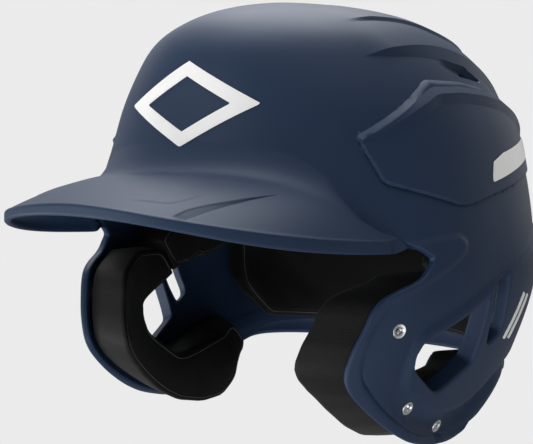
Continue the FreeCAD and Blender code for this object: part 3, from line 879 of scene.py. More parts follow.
def edge_at(angle):
    return bill_edge(np.interp(angle, EDGE_ANGLES, EDGE_SHARES))


def distance_to_edge(x, y):
    edge = edge_at(bill_angle(x, y))
    return np.hypot(edge[:, 0] - x, edge[:, 1] - y)


def bill_relief(x, y):
    """Recessed slash, deepest along its outer side, and a faint stepped crease."""
    spot = np.stack([np.abs(x), y], -1)
    inner, outer = beside(spot, SLASH_INNER)[0], beside(spot, SLASH_OUTER)[0]
    slash = (-2.0 * clip01(inside(spot, SLASH) / 0.35)
             * (0.12 + 0.88 * inner / np.maximum(inner + outer, 1e-6)))
    distance, side, run = beside(spot, CREASE)
    fade = ramp(run, 0, 14) * (1 - ramp(run, 34, 52))
    step = np.where(side > 0, np.exp(-distance / 7.0), clip01(1 - distance / 1.2))
    return slash + 0.35 * fade * step


def lip_row(share, edge, direction, tip_height):
    """Row of the lip: 0 to 0.4 down its face, to 0.8 round the foot, to 1 up inside."""
    foot = edge[:, 2] + FOOT_ROUND
    if share < 0.4:
        part = share / 0.4
        return np.column_stack([edge[:, :2],
                                (tip_height - LIP_ROUND) * (1 - part) + foot * part])
    if share < 0.8:
        angle = (share - 0.4) / 0.4 * np.pi
        radius = LIP_WIDTH / 2
        return np.column_stack([edge[:, :2] - direction * (radius - radius * math.cos(angle)),
                                foot - FOOT_ROUND * math.sin(angle)])
    part = (share - 0.8) / 0.2
    spot = edge[:, :2] - direction * (LIP_WIDTH + LIP_FLARE * part)
    upper = bill_top(spot[:, 0], spot[:, 1]) - BILL_THICKNESS - UNDER_GAP
    return np.column_stack([spot, foot * (1 - part) + upper * part])


def bill_profile(outer, inner, normals, plain, steps):
    """Rim rows: the bill in front, fading into the plain rounded edge elsewhere."""
    root = outer[:, :2]
    angle = bill_angle(root[:, 0], root[:, 1])
    edge = edge_at(angle)
    reach = edge[:, :2] - root
    wall_out = unit(normals[:, :2])
    # towards its end the lip runs on along the wall and fades into the rim
    full = ramp((reach * wall_out).sum(1), 1.0, 5.0)
    direction = unit(unit(reach) * full[:, None] + wall_out * (1 - full)[:, None])
    length = full * np.linalg.norm(reach, axis=1) + (1 - full) * 1.7
    tail = ramp(outer[:, 1], -66, -51)
    edge = np.column_stack([root + direction * length[:, None], edge[:, 2] + 1.1 * tail])
    weight = 1 - ramp(outer[:, 1], -61, -50.5)
    weight = np.where((outer[:, 1] > -50) | (np.abs(angle) > 1.45) | (outer[:, 2] < 96.5),
                      0, weight)
    round_steps, join_steps = 3, 4
    top_steps, lip_steps = int(steps * 0.60), int(steps * 0.16)
    under_steps = steps - 1 - top_steps - lip_steps - join_steps
    rows = []
    # top face, with a fillet at the wall
    lift = outer[:, 2] - bill_top(root[:, 0], root[:, 1])
    fillet = np.minimum(15.0, np.maximum(0.95 * length, 0.5))
    shares = np.arange(1, top_steps + 1) / top_steps
    for share in shares * 0.55 + 0.45 * shares ** 2:
        distance = np.maximum(length - LIP_ROUND, 0.01) * share
        spot = root + direction * distance[:, None]
        z = (bill_top(spot[:, 0], spot[:, 1])
             + lift * (1 - np.minimum(distance / fillet, 1)) ** 3)
        rows.append(np.column_stack([spot, np.minimum(z, outer[:, 2] - 0.3 * share)]))
    # lip: rounded top edge, then face, foot and inner face
    tip_height = rows[-1][:, 2]
    for turn in np.linspace(0, np.pi / 2, round_steps + 1)[1:]:
        back = LIP_ROUND - LIP_ROUND * math.sin(turn)
        rows.append(np.column_stack([edge[:, :2] - direction * back,
                                     tip_height - LIP_ROUND * (1 - math.cos(turn))]))
    for share in np.linspace(0, 1, lip_steps - round_steps + 1)[1:]:
        rows.append(lip_row(share, edge, direction, tip_height))
    # underside back to the inner wall
    wall = np.maximum(((inner[:, :2] - root) * direction).sum(1), -6.0)
    under = np.maximum(length - LIP_WIDTH - LIP_FLARE, 0.0)
    for j in range(1, under_steps + 1):
        share = j / under_steps
        distance = under * (1 - share) + (wall + 0.6) * share
        spot = root + direction * distance[:, None]
        z = (bill_top(spot[:, 0], spot[:, 1]) - BILL_THICKNESS
             - UNDER_GAP * (1 - min(1, share * 8)))
        rows.append(np.column_stack([spot, z]))
    last = rows[-1]
    for j in range(1, join_steps + 1):
        share = j / (join_steps + 1)
        sideways = min(1, share * 2.2)
        row = last + (inner - last) * share
        row[:, :2] = last[:, :2] * (1 - sideways) + inner[:, :2] * sideways
        rows.append(row)
    weight = soften(weight, 3)[:, None, None]
    return plain * (1 - weight) + np.stack(rows, 1) * weight


def refine_bill(ob):
    """Split the top of the bill finely round its recessed lines and press them in."""
    mesh = ob.data
    coords = np.empty(len(mesh.vertices) * 3)
    mesh.vertices.foreach_get("co", coords)
    points = coords.reshape(-1, 3) / MM - OFFSET
    x, y, z = points.T
    top = zone(x=(20, 72), y=(-164, -100))(points) & (np.abs(z - bill_top(x, y)) < 1.2)
    top &= distance_to_edge(x, y) > 1.6        # clear of the lip
    edit = bmesh.new()
    edit.from_mesh(mesh)
    edges = [edge for edge in edit.edges if all(top[vert.index] for vert in edge.verts)]
    bmesh.ops.subdivide_edges(edit, edges=edges, cuts=3, use_grid_fill=True)
    edit.verts.ensure_lookup_table()
    points = np.array([vert.co[:] for vert in edit.verts]) / MM - OFFSET
    x, y, z = points.T
    clear = distance_to_edge(x, y)
    top = zone(x=(18, 74), y=(-168, -98))(points) & (np.abs(z - bill_top(x, y)) < 1.5)
    chosen = np.where(top & (clear > 1.4))[0]
    press = bill_relief(x[chosen], y[chosen]) * ramp(clear[chosen], 1.6, 4.0)
    for i, rise in zip(chosen, press):
        edit.verts[i].co.z += rise * MM
    edit.to_mesh(mesh)
    edit.free()
    for polygon in mesh.polygons:
        polygon.use_smooth = True


# =====================================================================
# Shell
# =====================================================================
def panel_level(edge, offset):
    """Level function: distance into the panel from one of its edges, less an offset."""
    def level(points):
        distance = beside(yz(points), edge)[0]
        return np.where(inside(yz(points), PANEL) > 0, distance, -distance) - offset
    return level


def cut_relief_lines(patch):
    """Cut along the relief lines, so that their edges are crisp."""
    region = zone(x=(30, FAR), z=(108, 188))
    patch.cut(closed_level(PANEL), region)
    patch.cut(panel_level(PANEL_TOP, PANEL_BEVEL), region)
    patch.cut(panel_level(PANEL_BOTTOM, PANEL_BEAD), region)
    region = zone(x=(30, FAR), y=(-58, 96), z=(140, 180))
    for offset in (0.0, -RIDGE_BELOW, RIDGE_ABOVE):
        patch.cut(open_level(RIDGE, offset), region)
    region = zone(x=(30, FAR), y=(-54, 100), z=(156, 203))
    for line in (SIDE_RIB_TOP, SIDE_RIB_FOOT):
        patch.cut(open_level(line), region)
    for line, _, width, _, _, x_range, y_range in CROWN_RIBS:
        for offset in (0.0, -width):
            patch.cut(open_level(line, offset, plan), zone(x_range, y_range, (165, FAR)))
    for offset in (0.0, POCKET_SLOPE):
        patch.cut(closed_level(VENT_POCKET, offset), zone((50, FAR), (-8, 44), (176, 195)))
    for offset in (GROOVE_HALF_WIDTH, 0.0, -GROOVE_HALF_WIDTH):
        patch.cut(open_level(GROOVE, offset), zone(x=(10, FAR), z=(-FAR, 60)))


def cut_openings(patch):
    patch.trim(closed_level(RIM, EDGE_RADIUS))
    for outline in (EAR_OPENING, SLOT):
        patch.trim(closed_level(outline, EDGE_RADIUS, sign=-1),
                   zone(x=(60, FAR), z=(-FAR, 100)))
    patch.trim(closed_level(VENT, 0.6, sign=-1), zone(x=(50, FAR), z=(170, FAR)))
    patch.trim(lambda points: insert_distance(points) - INSERT_HOLE,
               zone(x=(50, FAR), z=(-FAR, 75)))


def rounded_edge(outer, inner, out, steps, radius):
    """Rows of a rounded edge from the outer to the inner sheet."""
    power = 0.75           # squares the round up a little
    angle = np.pi * (np.arange(1, steps) / steps)
    bulge = radius * np.sin(angle) ** power
    across = (1 - signed_power(np.cos(angle), power)) / 2
    return (outer[:, None] + (inner - outer)[:, None] * across[None, :, None]
            + out[:, None] * bulge[None, :, None])


def return_wall(outer, normals, out, steps, depth):
    """Rows of a wall that turns into an opening, rounds its end and comes back behind."""
    end_radius = 1.0
    # (distance into the opening, depth below the outer face)
    profile = [(EDGE_RADIUS * math.sin(turn), EDGE_RADIUS * (1 - math.cos(turn)))
               for turn in np.linspace(0.0, np.pi / 2, 7)[1:]]
    profile += [(EDGE_RADIUS + 0.5 * share,
                 EDGE_RADIUS + (depth - end_radius - EDGE_RADIUS) * share)
                for share in np.linspace(0.0, 1.0, 9)[1:]]
    out_end, depth_end = profile[-1]
    profile += [(out_end - end_radius + end_radius * math.cos(turn),
                 depth_end + end_radius * math.sin(turn))
                for turn in np.linspace(0, np.pi, 8)[1:]]
    back_start = profile[-1][0]
    rest = steps - 1 - len(profile)
    profile += [(back_start * (1 - share) + 0.05 * share,
                 depth_end * (1 - share) + (WALL + 0.5) * share)
                for share in np.linspace(0.0, 1.0, rest + 2)[1:-1]]
    profile = np.array(profile)
    return (outer[:, None] + out[:, None] * profile[None, :, 0:1]
            - normals[:, None] * profile[None, :, 1:2])


def shell_edge(outer, inner, normals, is_rim):
    """Rows that close one boundary of the shell, the step count, and if it is a pin hole."""
    span = np.ptp(outer, axis=0).max()
    low = outer.mean(0)[2] < 100
    out = outward(outer, normals)
    if is_rim:
        steps = 110
        plain = rounded_edge(outer, inner, out, steps, EDGE_RADIUS)
        return bill_profile(outer, inner, normals, plain, steps), steps, False
    if low and span > 20:
        depth = EAR_WALL_DEPTH if span > 40 else SLOT_WALL_DEPTH
        return return_wall(outer, normals, out, 30, depth), 30, False
    if low and span < 10:
        shares = np.arange(1, 3) / 3
        return outer[:, None] + (inner - outer)[:, None] * shares[None, :, None], 3, True
    return rounded_edge(outer, inner, out, 12, radius=0.6), 12, False


def build_shell(material):
    patch = Patch(1.6, end=1.04)
    cut_relief_lines(patch)
    cut_openings(patch)
    patch.close()
    base, normals = patch.base_and_normals()
    height = relief(base)
    outer = base + normals * height[:, None]
    # the wall is thinner where the face is raised, and at least 1.6 thick
    inner = base - normals * np.maximum(WALL - 0.30 * height, -height + 1.6)[:, None]
    faces = facing(patch.faces, outer, normals)
    count = point_count = len(base)
    sharp = [crease_edges(outer, faces, patch.locked, degrees=9.0)]
    vertices = [outer, inner]
    parts = [faces, faces[:, ::-1] + count]
    loops = boundary_loops(faces)
    longest = max(len(loop) for loop in loops)
    point_count *= 2
    for loop in loops:
        rows, steps, is_pin = shell_edge(outer[loop], inner[loop], normals[loop],
                                         len(loop) == longest)
        vertices.append(rows.reshape(-1, 3))
        parts.append(wall_faces(loop, count, steps, point_count))
        point_count += len(loop) * (steps - 1)
        if is_pin:
            sharp += [loop_edges(loop), loop_edges(loop) + count]
    shell = make_object("shell_moulding", np.concatenate(vertices), parts, material,
                        np.concatenate(sharp))
    refine_bill(shell)
    attach(shell, "shell")


# =====================================================================
# Materials
# =====================================================================
def new_material(name):
    """Material with a Principled shader: returns it, its tree and the shader."""
    material = bpy.data.materials.new(name)
    material.use_nodes = True
    tree = material.node_tree
    tree.nodes.clear()
    output = tree.nodes.new("ShaderNodeOutputMaterial")
    shader = tree.nodes.new("ShaderNodeBsdfPrincipled")
    tree.links.new(shader.outputs[0], output.inputs[0])
    return material, tree, shader


def set_inputs(node, values):
    for name, value in values.items():
        node.inputs[name].default_value = value


def object_coords(tree):
    return tree.nodes.new("ShaderNodeTexCoord").outputs["Object"]


def noise(tree, coords, scale, detail, roughness=0.5):
    node = tree.nodes.new("ShaderNodeTexNoise")
    set_inputs(node, {"Scale": scale, "Detail": detail, "Roughness": roughness})
    tree.links.new(coords, node.inputs["Vector"])
    return node.outputs["Fac"]


def colour_ramp(tree, factor, low, high, positions=(0.0, 1.0)):
    node = tree.nodes.new("ShaderNodeValToRGB")
    for stop, position, colour in zip(node.color_ramp.elements, positions, (low, high)):
        stop.position = position
        stop.color = (*colour, 1)
    tree.links.new(factor, node.inputs["Fac"])
    return node.outputs[0]


def map_range(tree, value, source=(0.0, 1.0), target=(0.0, 1.0)):
    node = tree.nodes.new("ShaderNodeMapRange")
    set_inputs(node, {"From Min": source[0], "From Max": source[1],
                      "To Min": target[0], "To Max": target[1]})
    tree.links.new(value, node.inputs["Value"])
    return node.outputs[0]


def add_bump(tree, shader, height, strength, distance):
    node = tree.nodes.new("ShaderNodeBump")
    set_inputs(node, {"Strength": strength, "Distance": distance})
    tree.links.new(height, node.inputs["Height"])
    tree.links.new(node.outputs[0], shader.inputs["Normal"])


def shell_material():
    """Matte navy plastic with fine grain, and a painted highlight that makes convex edges
    paler.
    """
    material, tree, shader = new_material("shell_matte_navy")
    link = tree.links.new
    coords = object_coords(tree)
    grain = noise(tree, coords, scale=2600.0, detail=3.0, roughness=0.6)
    broad = noise(tree, coords, scale=16.0, detail=4.0, roughness=0.55)
    navy = colour_ramp(tree, broad, low=(0.0112, 0.0238, 0.0535),
                       high=(0.0123, 0.0261, 0.0585), positions=(0.35, 0.70))
    geometry = tree.nodes.new("ShaderNodeNewGeometry")
    # painted highlight: convex edges, found by pointiness, are mixed towards the paler navy
    # below
    painted_edge_highlight = map_range(tree, geometry.outputs["Pointiness"], source=(0.53, 0.60),
                       target=(0.0, 0.35))
    mix = tree.nodes.new("ShaderNodeMix")
    mix.data_type = "RGBA"
    factor, first_colour, second_colour = mix.inputs[0], mix.inputs[6], mix.inputs[7]
    second_colour.default_value = (0.045, 0.065, 0.105, 1)
    link(painted_edge_highlight, factor)
    link(navy, first_colour)
    link(mix.outputs[2], shader.inputs["Base Color"])
    link(map_range(tree, broad, target=(0.46, 0.55)), shader.inputs["Roughness"])
    set_inputs(shader, {"Specular IOR Level": 0.261,
                        "Specular Tint": (0.739, 0.832, 1.000, 1)})
    add_bump(tree, shader, grain, strength=0.12, distance=0.00012)
    return material


def pad_material():
    """Black leatherette with a cell-like grain."""
    material, tree, shader = new_material("pad_black_leatherette")
    link = tree.links.new
    coords = object_coords(tree)
    cells = tree.nodes.new("ShaderNodeTexVoronoi")
    cells.feature = "DISTANCE_TO_EDGE"
    set_inputs(cells, {"Scale": 900.0})
    link(coords, cells.inputs["Vector"])
    cloud = noise(tree, coords, scale=60.0, detail=5.0)
    black = colour_ramp(tree, cloud, low=(0.0022, 0.0023, 0.0022),
                        high=(0.0048, 0.0050, 0.0047))
    link(black, shader.inputs["Base Color"])
    link(map_range(tree, cloud, target=(0.42, 0.62)), shader.inputs["Roughness"])
    set_inputs(shader, {"Specular IOR Level": 0.10, "Sheen Weight": 0.04,
                        "Sheen Roughness": 0.5})
    creases = map_range(tree, cells.outputs["Distance"], source=(0.0, 0.18))
    add_bump(tree, shader, creases, strength=0.25, distance=0.00025)
    return material


def plain_material(name, colour, roughness, scale, bump, spread=0.15, metallic=0.0):
    """One colour varied by a noise of the given scale; spread is the share it varies by."""
    material, tree, shader = new_material(name)
    link = tree.links.new
    cloud = noise(tree, object_coords(tree), scale, detail=4.0)
    varied = colour_ramp(tree, cloud, low=[part * (1 - spread) for part in colour],
                         high=[part * (1 + spread) for part in colour], positions=(0.3, 0.7))
    link(varied, shader.inputs["Base Color"])
    set_inputs(shader, {"Metallic": metallic})
    link(map_range(tree, cloud, target=(roughness - 0.07, roughness + 0.07)),
         shader.inputs["Roughness"])
    add_bump(tree, shader, cloud, strength=bump, distance=0.0001)
    return material


SHELL_NAVY = shell_material()
PAD_BLACK = pad_material()
SEAM_GREY = plain_material("pad_seam_grey", (0.030, 0.030, 0.029), roughness=0.5,
                           scale=2500.0, bump=0.3)
SILVER = plain_material("insert_silver", (0.62, 0.63, 0.64), roughness=0.28,
                        scale=900.0, bump=0.1, metallic=1.0)
WHITE = plain_material("mark_white", (0.80, 0.80, 0.79), roughness=0.38,
                       scale=120.0, bump=0.02, spread=0.02)
HOOK_BLACK = plain_material("hook_tape_black", (0.012, 0.012, 0.013), roughness=0.85,
                            scale=3000.0, bump=0.6, spread=0.5)

build_shell(SHELL_NAVY)

# =====================================================================
# Padding: covered foam blocks with a stitched top edge
# =====================================================================
PAD_BACK = 5.35            # depth of the pads' backs below the base surface
PAD_TRIM = 0.8             # pads stop this far inside their outline
PAD_EDGE = 3.0             # height of the rounded edge
PAD_CROWN = 1.6            # rise of the face from the stitching to the middle
PAD_WALL_STEPS = 14
OPENING_CLEARANCE = 3.4    # from the ear opening and the slot
INSERT_RECESS = 5.4        # extra depth of the back over the inserts


def tube(path, radius, closed, sides=6):
    """Round bead along a path."""
    if closed:
        tangent = np.roll(path, -1, 0) - np.roll(path, 1, 0)
    else:
        tangent = np.gradient(path, axis=0)
    tangent = unit(tangent)
    across = unit(np.cross(tangent, path - path.mean(0)))
    up = np.cross(tangent, across)
    angle = np.linspace(0, 2 * np.pi, sides, endpoint=False)[None, :, None]
    points = path[:, None] + radius * (across[:, None] * np.cos(angle)
                                       + up[:, None] * np.sin(angle))
    grid = np.arange(len(path) * sides).reshape(len(path), sides)
    here, after = (grid, np.roll(grid, -1, 0)) if closed else (grid[:-1], grid[1:])
    quads = np.stack([here, after, np.roll(after, -1, 1), np.roll(here, -1, 1)], -1)
    return points.reshape(-1, 3), quads.reshape(-1, 4)


def level_loops(faces, values, level):
    """(loop, closed) pairs along a level at which the mesh is already cut."""
    on_line = np.abs(values - level) < 0.12
    opposite = np.concatenate([faces[:, 2], faces[:, 0], faces[:, 1]])
    edges = triangle_edges(faces)
    edges = edges[on_line[edges].all(1) & (values[opposite] > level)]
    following = {int(start): int(end) for start, end in edges}
    loops = []
    while following:
        first = next(iter(following))
        loop = [first]
        here = following.pop(first)
        while here in following and here != first:
            loop.append(here)
            here = following.pop(here)
        if len(loop) > 12:
            loops.append((np.array(loop), here == first))
    return loops


def outside_slope(spot, outline):
    """Distance outside an outline and its gradient in (y, z)."""
    step = 0.2
    outside = -inside(spot, outline)
    slopes = [(-inside(spot + move, outline) - outside) / step
              for move in ([step, 0], [0, step])]
    return outside, np.stack(slopes, 1)


def lean_side_pad(points, base, depth):
    """Bend the deep part of a side or jaw pad round the openings, in place."""
    spot = yz(base)
    y, z = spot.T
    # over the return wall the padding leans towards the ear opening
    outside, slope = outside_slope(spot, EAR_OPENING)
    shift = (3.2 * ramp(depth, 10.5, 20.0)
             * np.exp(-(np.maximum(outside - OPENING_CLEARANCE, 0) / 9.0) ** 2))
    points[:, 1:] -= slope * shift[:, None]
    # and over the top of the slot
    outside, slope = outside_slope(spot, SLOT)
    shift = (8.0 * ramp(depth, 9.5, 20.0) * ramp(z, 80, 86)
             * np.exp(-(np.maximum(outside - OPENING_CLEARANCE, 0) / 7.0) ** 2))
    points[:, 1:] -= slope * shift[:, None]
    # the rear end of the lower arm slants, its lower side flares a little
    points[:, 1] -= np.where(z < 60, 18.0 * ramp(depth, 6, 29) * ramp(y, 12, 47), 0)
    points[:, 2] -= 3.5 * ramp(depth, 8, 26) * ramp(z, 32, 8) * (1 - ramp(y, 0, 30))


def pad_direction(base, normals, lie):
    """Direction out of the shell along which a pad's walls run."""
    if lie == "side":
        direction = np.zeros_like(normals)
        direction[:, 0] = np.sign(base[:, 0])
        return direction
    return unit(normals * [1, 1, 0]) if lie == "round" else normals


def pad_height(base, depth_in, thickness, inset, seed):
    """Height of the covered face over the back: flat, with a tight rounded edge."""
    share = clip01((depth_in - PAD_TRIM) / (inset - PAD_TRIM))
    height = (thickness - PAD_CROWN
              - PAD_EDGE * (1 - np.sqrt(np.maximum(1 - (1 - share) ** 2, 0))))
    height += PAD_CROWN * (1 - np.exp(-np.maximum(depth_in - inset, 0) / 7.0))
    # stitched groove at the edge
    height -= 0.35 * np.exp(-((depth_in - inset - 0.3) / 0.7) ** 2)
    # slow swell of the foam
    y, z = yz(base).T
    swell = (np.sin(y * 0.11 + seed) * np.sin(z * 0.13 + 2.1 * seed)
             + 0.5 * np.sin(y * 0.31 + 1.7 * seed + z * 0.23))
    return height + 0.22 * swell * ramp(depth_in, inset, inset + 6)


def build_pad(name, node_name, level, thickness, region, seed, inset=3.0, lie="side"):
    """Pad block; inset is the place of its stitching inside the outline."""
    patch = Patch(2.6, end=1.04)
    patch.crop(region)
    for offset in (1.2, 0.5 * (PAD_TRIM + inset), inset, inset + 0.9, inset + 2.2):
        patch.cut(lambda points: level(points) - offset, region, snap=0.2)
    patch.trim(lambda points: level(points) - PAD_TRIM, region, snap=0.25)
    patch.close()
    base, normals = patch.base_and_normals()
    depth_in = level(base)
    height = pad_height(base, depth_in, thickness, inset, seed)
    direction = pad_direction(base, normals, lie)
    slant = np.maximum((direction * normals).sum(1), 0.55)[:, None]

    def at_depth(depth):
        points = base - direction * (depth[:, None] / slant)
        if lie == "side":
            lean_side_pad(points, base, depth)
        return points

    face = at_depth(PAD_BACK + height)
    back_depth = PAD_BACK + INSERT_RECESS * ramp(insert_distance(base), 10.5, 8.0)
    back = base - normals * back_depth[:, None]
    count = len(base)
    point_count = 2 * count
    faces = facing(patch.faces, face, -normals)
    vertices = [face, back]
    parts = [faces, faces[:, ::-1] + count]
    shares = np.arange(1, PAD_WALL_STEPS) / PAD_WALL_STEPS
    bulge = 0.6 * np.sin(np.pi * shares)
    for loop in boundary_loops(faces):
        top, bottom = face[loop], back[loop]
        out = outward(top, -normals[loop])
        rows = (top[:, None] + (bottom - top)[:, None] * shares[None, :, None]
                + out[:, None] * bulge[None, :, None])
        vertices.append(rows.reshape(-1, 3))
        parts.append(wall_faces(loop, count, PAD_WALL_STEPS, point_count))
        point_count += len(loop) * (PAD_WALL_STEPS - 1)
    pad = make_object(name, np.concatenate(vertices), parts, PAD_BLACK)
    attach(pad, node_name)
    add_stitch(name, node_name, at_depth(PAD_BACK + height + 0.12),
               level_loops(faces, depth_in, inset))


def add_stitch(name, node_name, points, loops):
    """Stitched bead along the edge of a pad."""
    vertices, parts, first = [], [], 0
    for loop, closed in loops:
        path = soften(points[loop], 3) if closed else points[loop]
        bead, quads = tube(path, 0.32, closed)
        vertices.append(bead)
        parts.append(quads + first)
        first += len(bead)
    if vertices:
        stitch = make_object(name + "_stitch", np.concatenate(vertices), parts, SEAM_GREY)
        attach(stitch, node_name)


def pad_level(outline, clear_openings=True):
    """Level function: distance inside a pad's outline and clear of the ear openings."""
    rounded = round_corners(outline, 1, share=0.12)

    def level(points):
        spot = yz(points)
        depth_in = inside(spot, rounded)
        if clear_openings:
            for opening in (EAR_OPENING, SLOT):
                depth_in = np.minimum(depth_in, -inside(spot, opening) - OPENING_CLEARANCE)
        return depth_in
    return level


def crown_level(points):
    """Level function of the crown pad: an ellipse seen from above."""
    half_width, half_length, centre_y, scale = 48.0, 60.0, 8.0, 52.0
    x, y = points[:, 0] / half_width, (points[:, 1] - centre_y) / half_length
    return np.where(points[:, 2] > 150, (1 - np.sqrt(x * x + y * y)) * scale, -20.0)


for side_name, side in SIDES:
    build_pad("jaw_pad_" + side_name, "pad_jaw_" + side_name, pad_level(JAW), thickness=24.0,
              region=zone((45, FAR), (-FAR, 56), (-FAR, 95), side), seed=1 + side)
    build_pad("side_pad_" + side_name, "pad_side_" + side_name, pad_level(SIDE),
              thickness=23.0, region=zone((60, FAR), (-26, 54), (68, 150), side),
              seed=3 + side)
build_pad("front_pad", "pad_front", pad_level(FRONT, clear_openings=False), thickness=13.0,
          region=zone(y=(-FAR, 0), z=(82, 160)), seed=5, lie="round")
build_pad("rear_pad", "pad_rear", pad_level(REAR), thickness=18.0,
          region=zone(y=(36, FAR), z=(36, 142)), seed=6, inset=3.5, lie="round")
build_pad("crown_pad", "pad_crown", crown_level, thickness=14.0,
          region=zone(z=(165, FAR)), seed=7, inset=6.0, lie="normal")


# =====================================================================
# Threaded inserts
# =====================================================================
BARREL = 2.88              # radius of the barrel in the shell
THREAD_START, THREAD_PITCH, THREAD_TURNS = -7.8, 0.7, 10
# (radius, height over the base surface): bore mouth, head, barrel, inner flange
INSERT_PROFILE = [(1.95, -0.35), (2.45, 0.25), (3.2, 0.34), (3.42, 0.22), (3.5, 0.02),
                  (BARREL, 0.0), (BARREL, -5.2), (5.9, -5.25), (5.9, -6.35),
                  (BARREL, -6.4), (BARREL, -8.0), (1.7, -8.0)]
for turn in range(THREAD_TURNS):
    start = THREAD_START + THREAD_PITCH * turn
    INSERT_PROFILE += [(1.62, start), (1.92, start + THREAD_PITCH / 2)]


def lathe(profile, centre, axis, segments=40):
    """Turn a closed profile about an axis."""
    across = np.cross(axis, np.array([0.0, 0.0, 1.0]))
    across /= np.linalg.norm(across)
    up = np.cross(axis, across)
    angle = np.linspace(0, 2 * np.pi, segments, endpoint=False)[None, :, None]
    radius, height = np.array(profile).T[:, :, None, None]
    points = (centre + axis * height
              + radius * (across * np.cos(angle) + up * np.sin(angle)))
    grid = np.arange(len(profile) * segments).reshape(len(profile), segments)
    after = np.roll(grid, -1, 0)
    quads = np.stack([grid, np.roll(grid, -1, 1), np.roll(after, -1, 1), after], -1)
    return points.reshape(-1, 3), quads.reshape(-1, 4)


def build_inserts(side_name, side):
    vertices, parts, first = [], [], 0
    flip = np.array([side, 1, 1])
    for centre, axis in INSERT_PLACES:
        points, quads = lathe(INSERT_PROFILE, centre * flip, axis * flip)
        vertices.append(points)
        parts.append(quads + first)
        first += len(points)
    ob = make_object("insert_set_" + side_name, np.concatenate(vertices), parts, SILVER)
    edit = bmesh.new()
    edit.from_mesh(ob.data)
    bmesh.ops.recalc_face_normals(edit, faces=edit.faces)
    for edge in edit.edges:
        if len(edge.link_faces) == 2 and edge.calc_face_angle(0) > math.radians(28):
            edge.smooth = False
    edit.to_mesh(ob.data)
    edit.free()
    attach(ob, "inserts_" + side_name)


for side_name, side in SIDES:
    build_inserts(side_name, side)

# =====================================================================
# White marks that follow the relief of the shell
# =====================================================================
MARK_LIFT, MARK_THICKNESS = 0.10, 0.28
# front mark: a hollow diamond, seen from the front
DIAMOND_HALF_WIDTH, DIAMOND_HALF_HEIGHT, DIAMOND_Z = 41.0, 20.5, 162.0
DIAMOND_BAND = 6.5


def diamond(scale):
    width, height = DIAMOND_HALF_WIDTH * scale, DIAMOND_HALF_HEIGHT * scale
    return [(width, DIAMOND_Z), (0, DIAMOND_Z + height),
            (-width, DIAMOND_Z), (0, DIAMOND_Z - height)]


DIAMOND_OUTER = diamond(1.0)
DIAMOND_INNER = diamond(1 - DIAMOND_BAND * math.hypot(DIAMOND_HALF_WIDTH, DIAMOND_HALF_HEIGHT)
                        / (DIAMOND_HALF_WIDTH * DIAMOND_HALF_HEIGHT))


def diamond_level(points):
    spot = points[:, [0, 2]]
    return np.minimum(inside(spot, DIAMOND_OUTER), -inside(spot, DIAMOND_INNER))


def bars_level(points):
    return np.maximum(*[inside(yz(points), bar) for bar in BARS])


def build_mark(name, node_name, level, region, over_ridge=False):
    patch = Patch(1.3, end=1.02)
    patch.crop(region)
    if over_ridge:
        patch.cut(open_level(RIDGE, -RIDGE_BELOW), region)
    patch.trim(level, region, snap=0.2)
    patch.close(one_piece=False)
    base, normals = patch.base_and_normals()
    height = relief(base) + MARK_LIFT
    top = base + normals * (height + MARK_THICKNESS)[:, None]
    bottom = base + normals * height[:, None]
    count = len(base)
    faces = facing(patch.faces, top, normals)
    loops = boundary_loops(faces)
    parts = [faces, faces[:, ::-1] + count] + [wall_faces(loop, count) for loop in loops]
    sharp = np.concatenate([loop_edges(loop) for loop in loops])
    mark = make_object(name, np.concatenate([top, bottom]), parts, WHITE,
                       np.concatenate([sharp, sharp + count]))
    attach(mark, node_name)


build_mark("front_mark", "emblem_front", diamond_level,
           zone(x=(-FAR, 48), y=(-FAR, -20), z=(136, 188)))
for side_name, side in SIDES:
    build_mark("side_label_" + side_name, "label_" + side_name, closed_level(LABEL),
               zone((50, FAR), (2, 80), (122, 160), side), over_ridge=True)
    build_mark("rear_bars_" + side_name, "mark_rear_" + side_name, bars_level,
               zone((50, FAR), (18, 52), (46, 80), side))

# hook tape: CAD pieces that are kept and only get a material
for node_name in ("hook_front", "hook_crown", "hook_side_left", "hook_side_right",
                  "hook_rear", "hook_jaw_left", "hook_jaw_right"):
    # the nodes may come as a table of objects; otherwise the object is found by its name
    tape = frame["nodes"][node_name] if isinstance(frame["nodes"], dict) else None
    if tape is None:
        tape = bpy.data.objects.get(node_name)
    for slot in tape.material_slots:
        slot.material = HOOK_BLACK

# =====================================================================
# Camera, lights, world and floor (metres)
# =====================================================================
SHIFT = Vector((0, CROWN_TO_MID * MM, 0))
CAMERA_PLACE = (0.3838730738, -0.5068901170, 0.1282294461)
CAMERA_RIGHT = (0.7762633098917452, 0.6297420066125026, 0.02898756325687337)
CAMERA_UP = (-0.04611908243638478, 0.01087039936818944, 0.9988768015390096)
CAMERA_FORWARD = (-0.6287195749705415, 0.7767282919562251, -0.03748141571001224)
LIGHT_TARGET = (0, -0.02, 0.12)
# name, place, size of the square, power in watts
LIGHTS = [
    ("left_mid", (-0.660, -0.534, 0.969), 0.8, 0.32),
    ("top", (0.024, -0.030, 1.219), 0.8, 5.00),
    ("top_back", (-0.377, 0.466, 1.159), 0.8, 10.07),
    ("top_left", (-0.319, -0.258, 1.248), 0.8, 6.25),
    ("left_back_mid", (-0.994, 0.382, 0.866), 0.8, 1.09),
    ("left_front_level", (-0.466, -1.214, 0.120), 0.8, 5.55),
    ("below_left", (-0.845, -0.684, -0.387), 0.8, 8.16),
    ("back_mid", (-0.627, 0.774, 0.956), 0.8, 0.68),
    ("below_right", (0.965, -0.188, -0.568), 0.8, 2.53),
    ("right_back", (0.240, 1.233, 0.456), 0.6, 0.83),
    ("left_back", (-1.221, 0.022, 0.565), 0.6, 0.69),
    ("below_front", (0.320, -0.929, -0.568), 0.8, 6.23)]
WORLD_GREY, WORLD_STRENGTH = (0.82, 0.82, 0.82, 1), 0.380
BACKDROP_GREY = (0.831, 0.831, 0.831, 1)
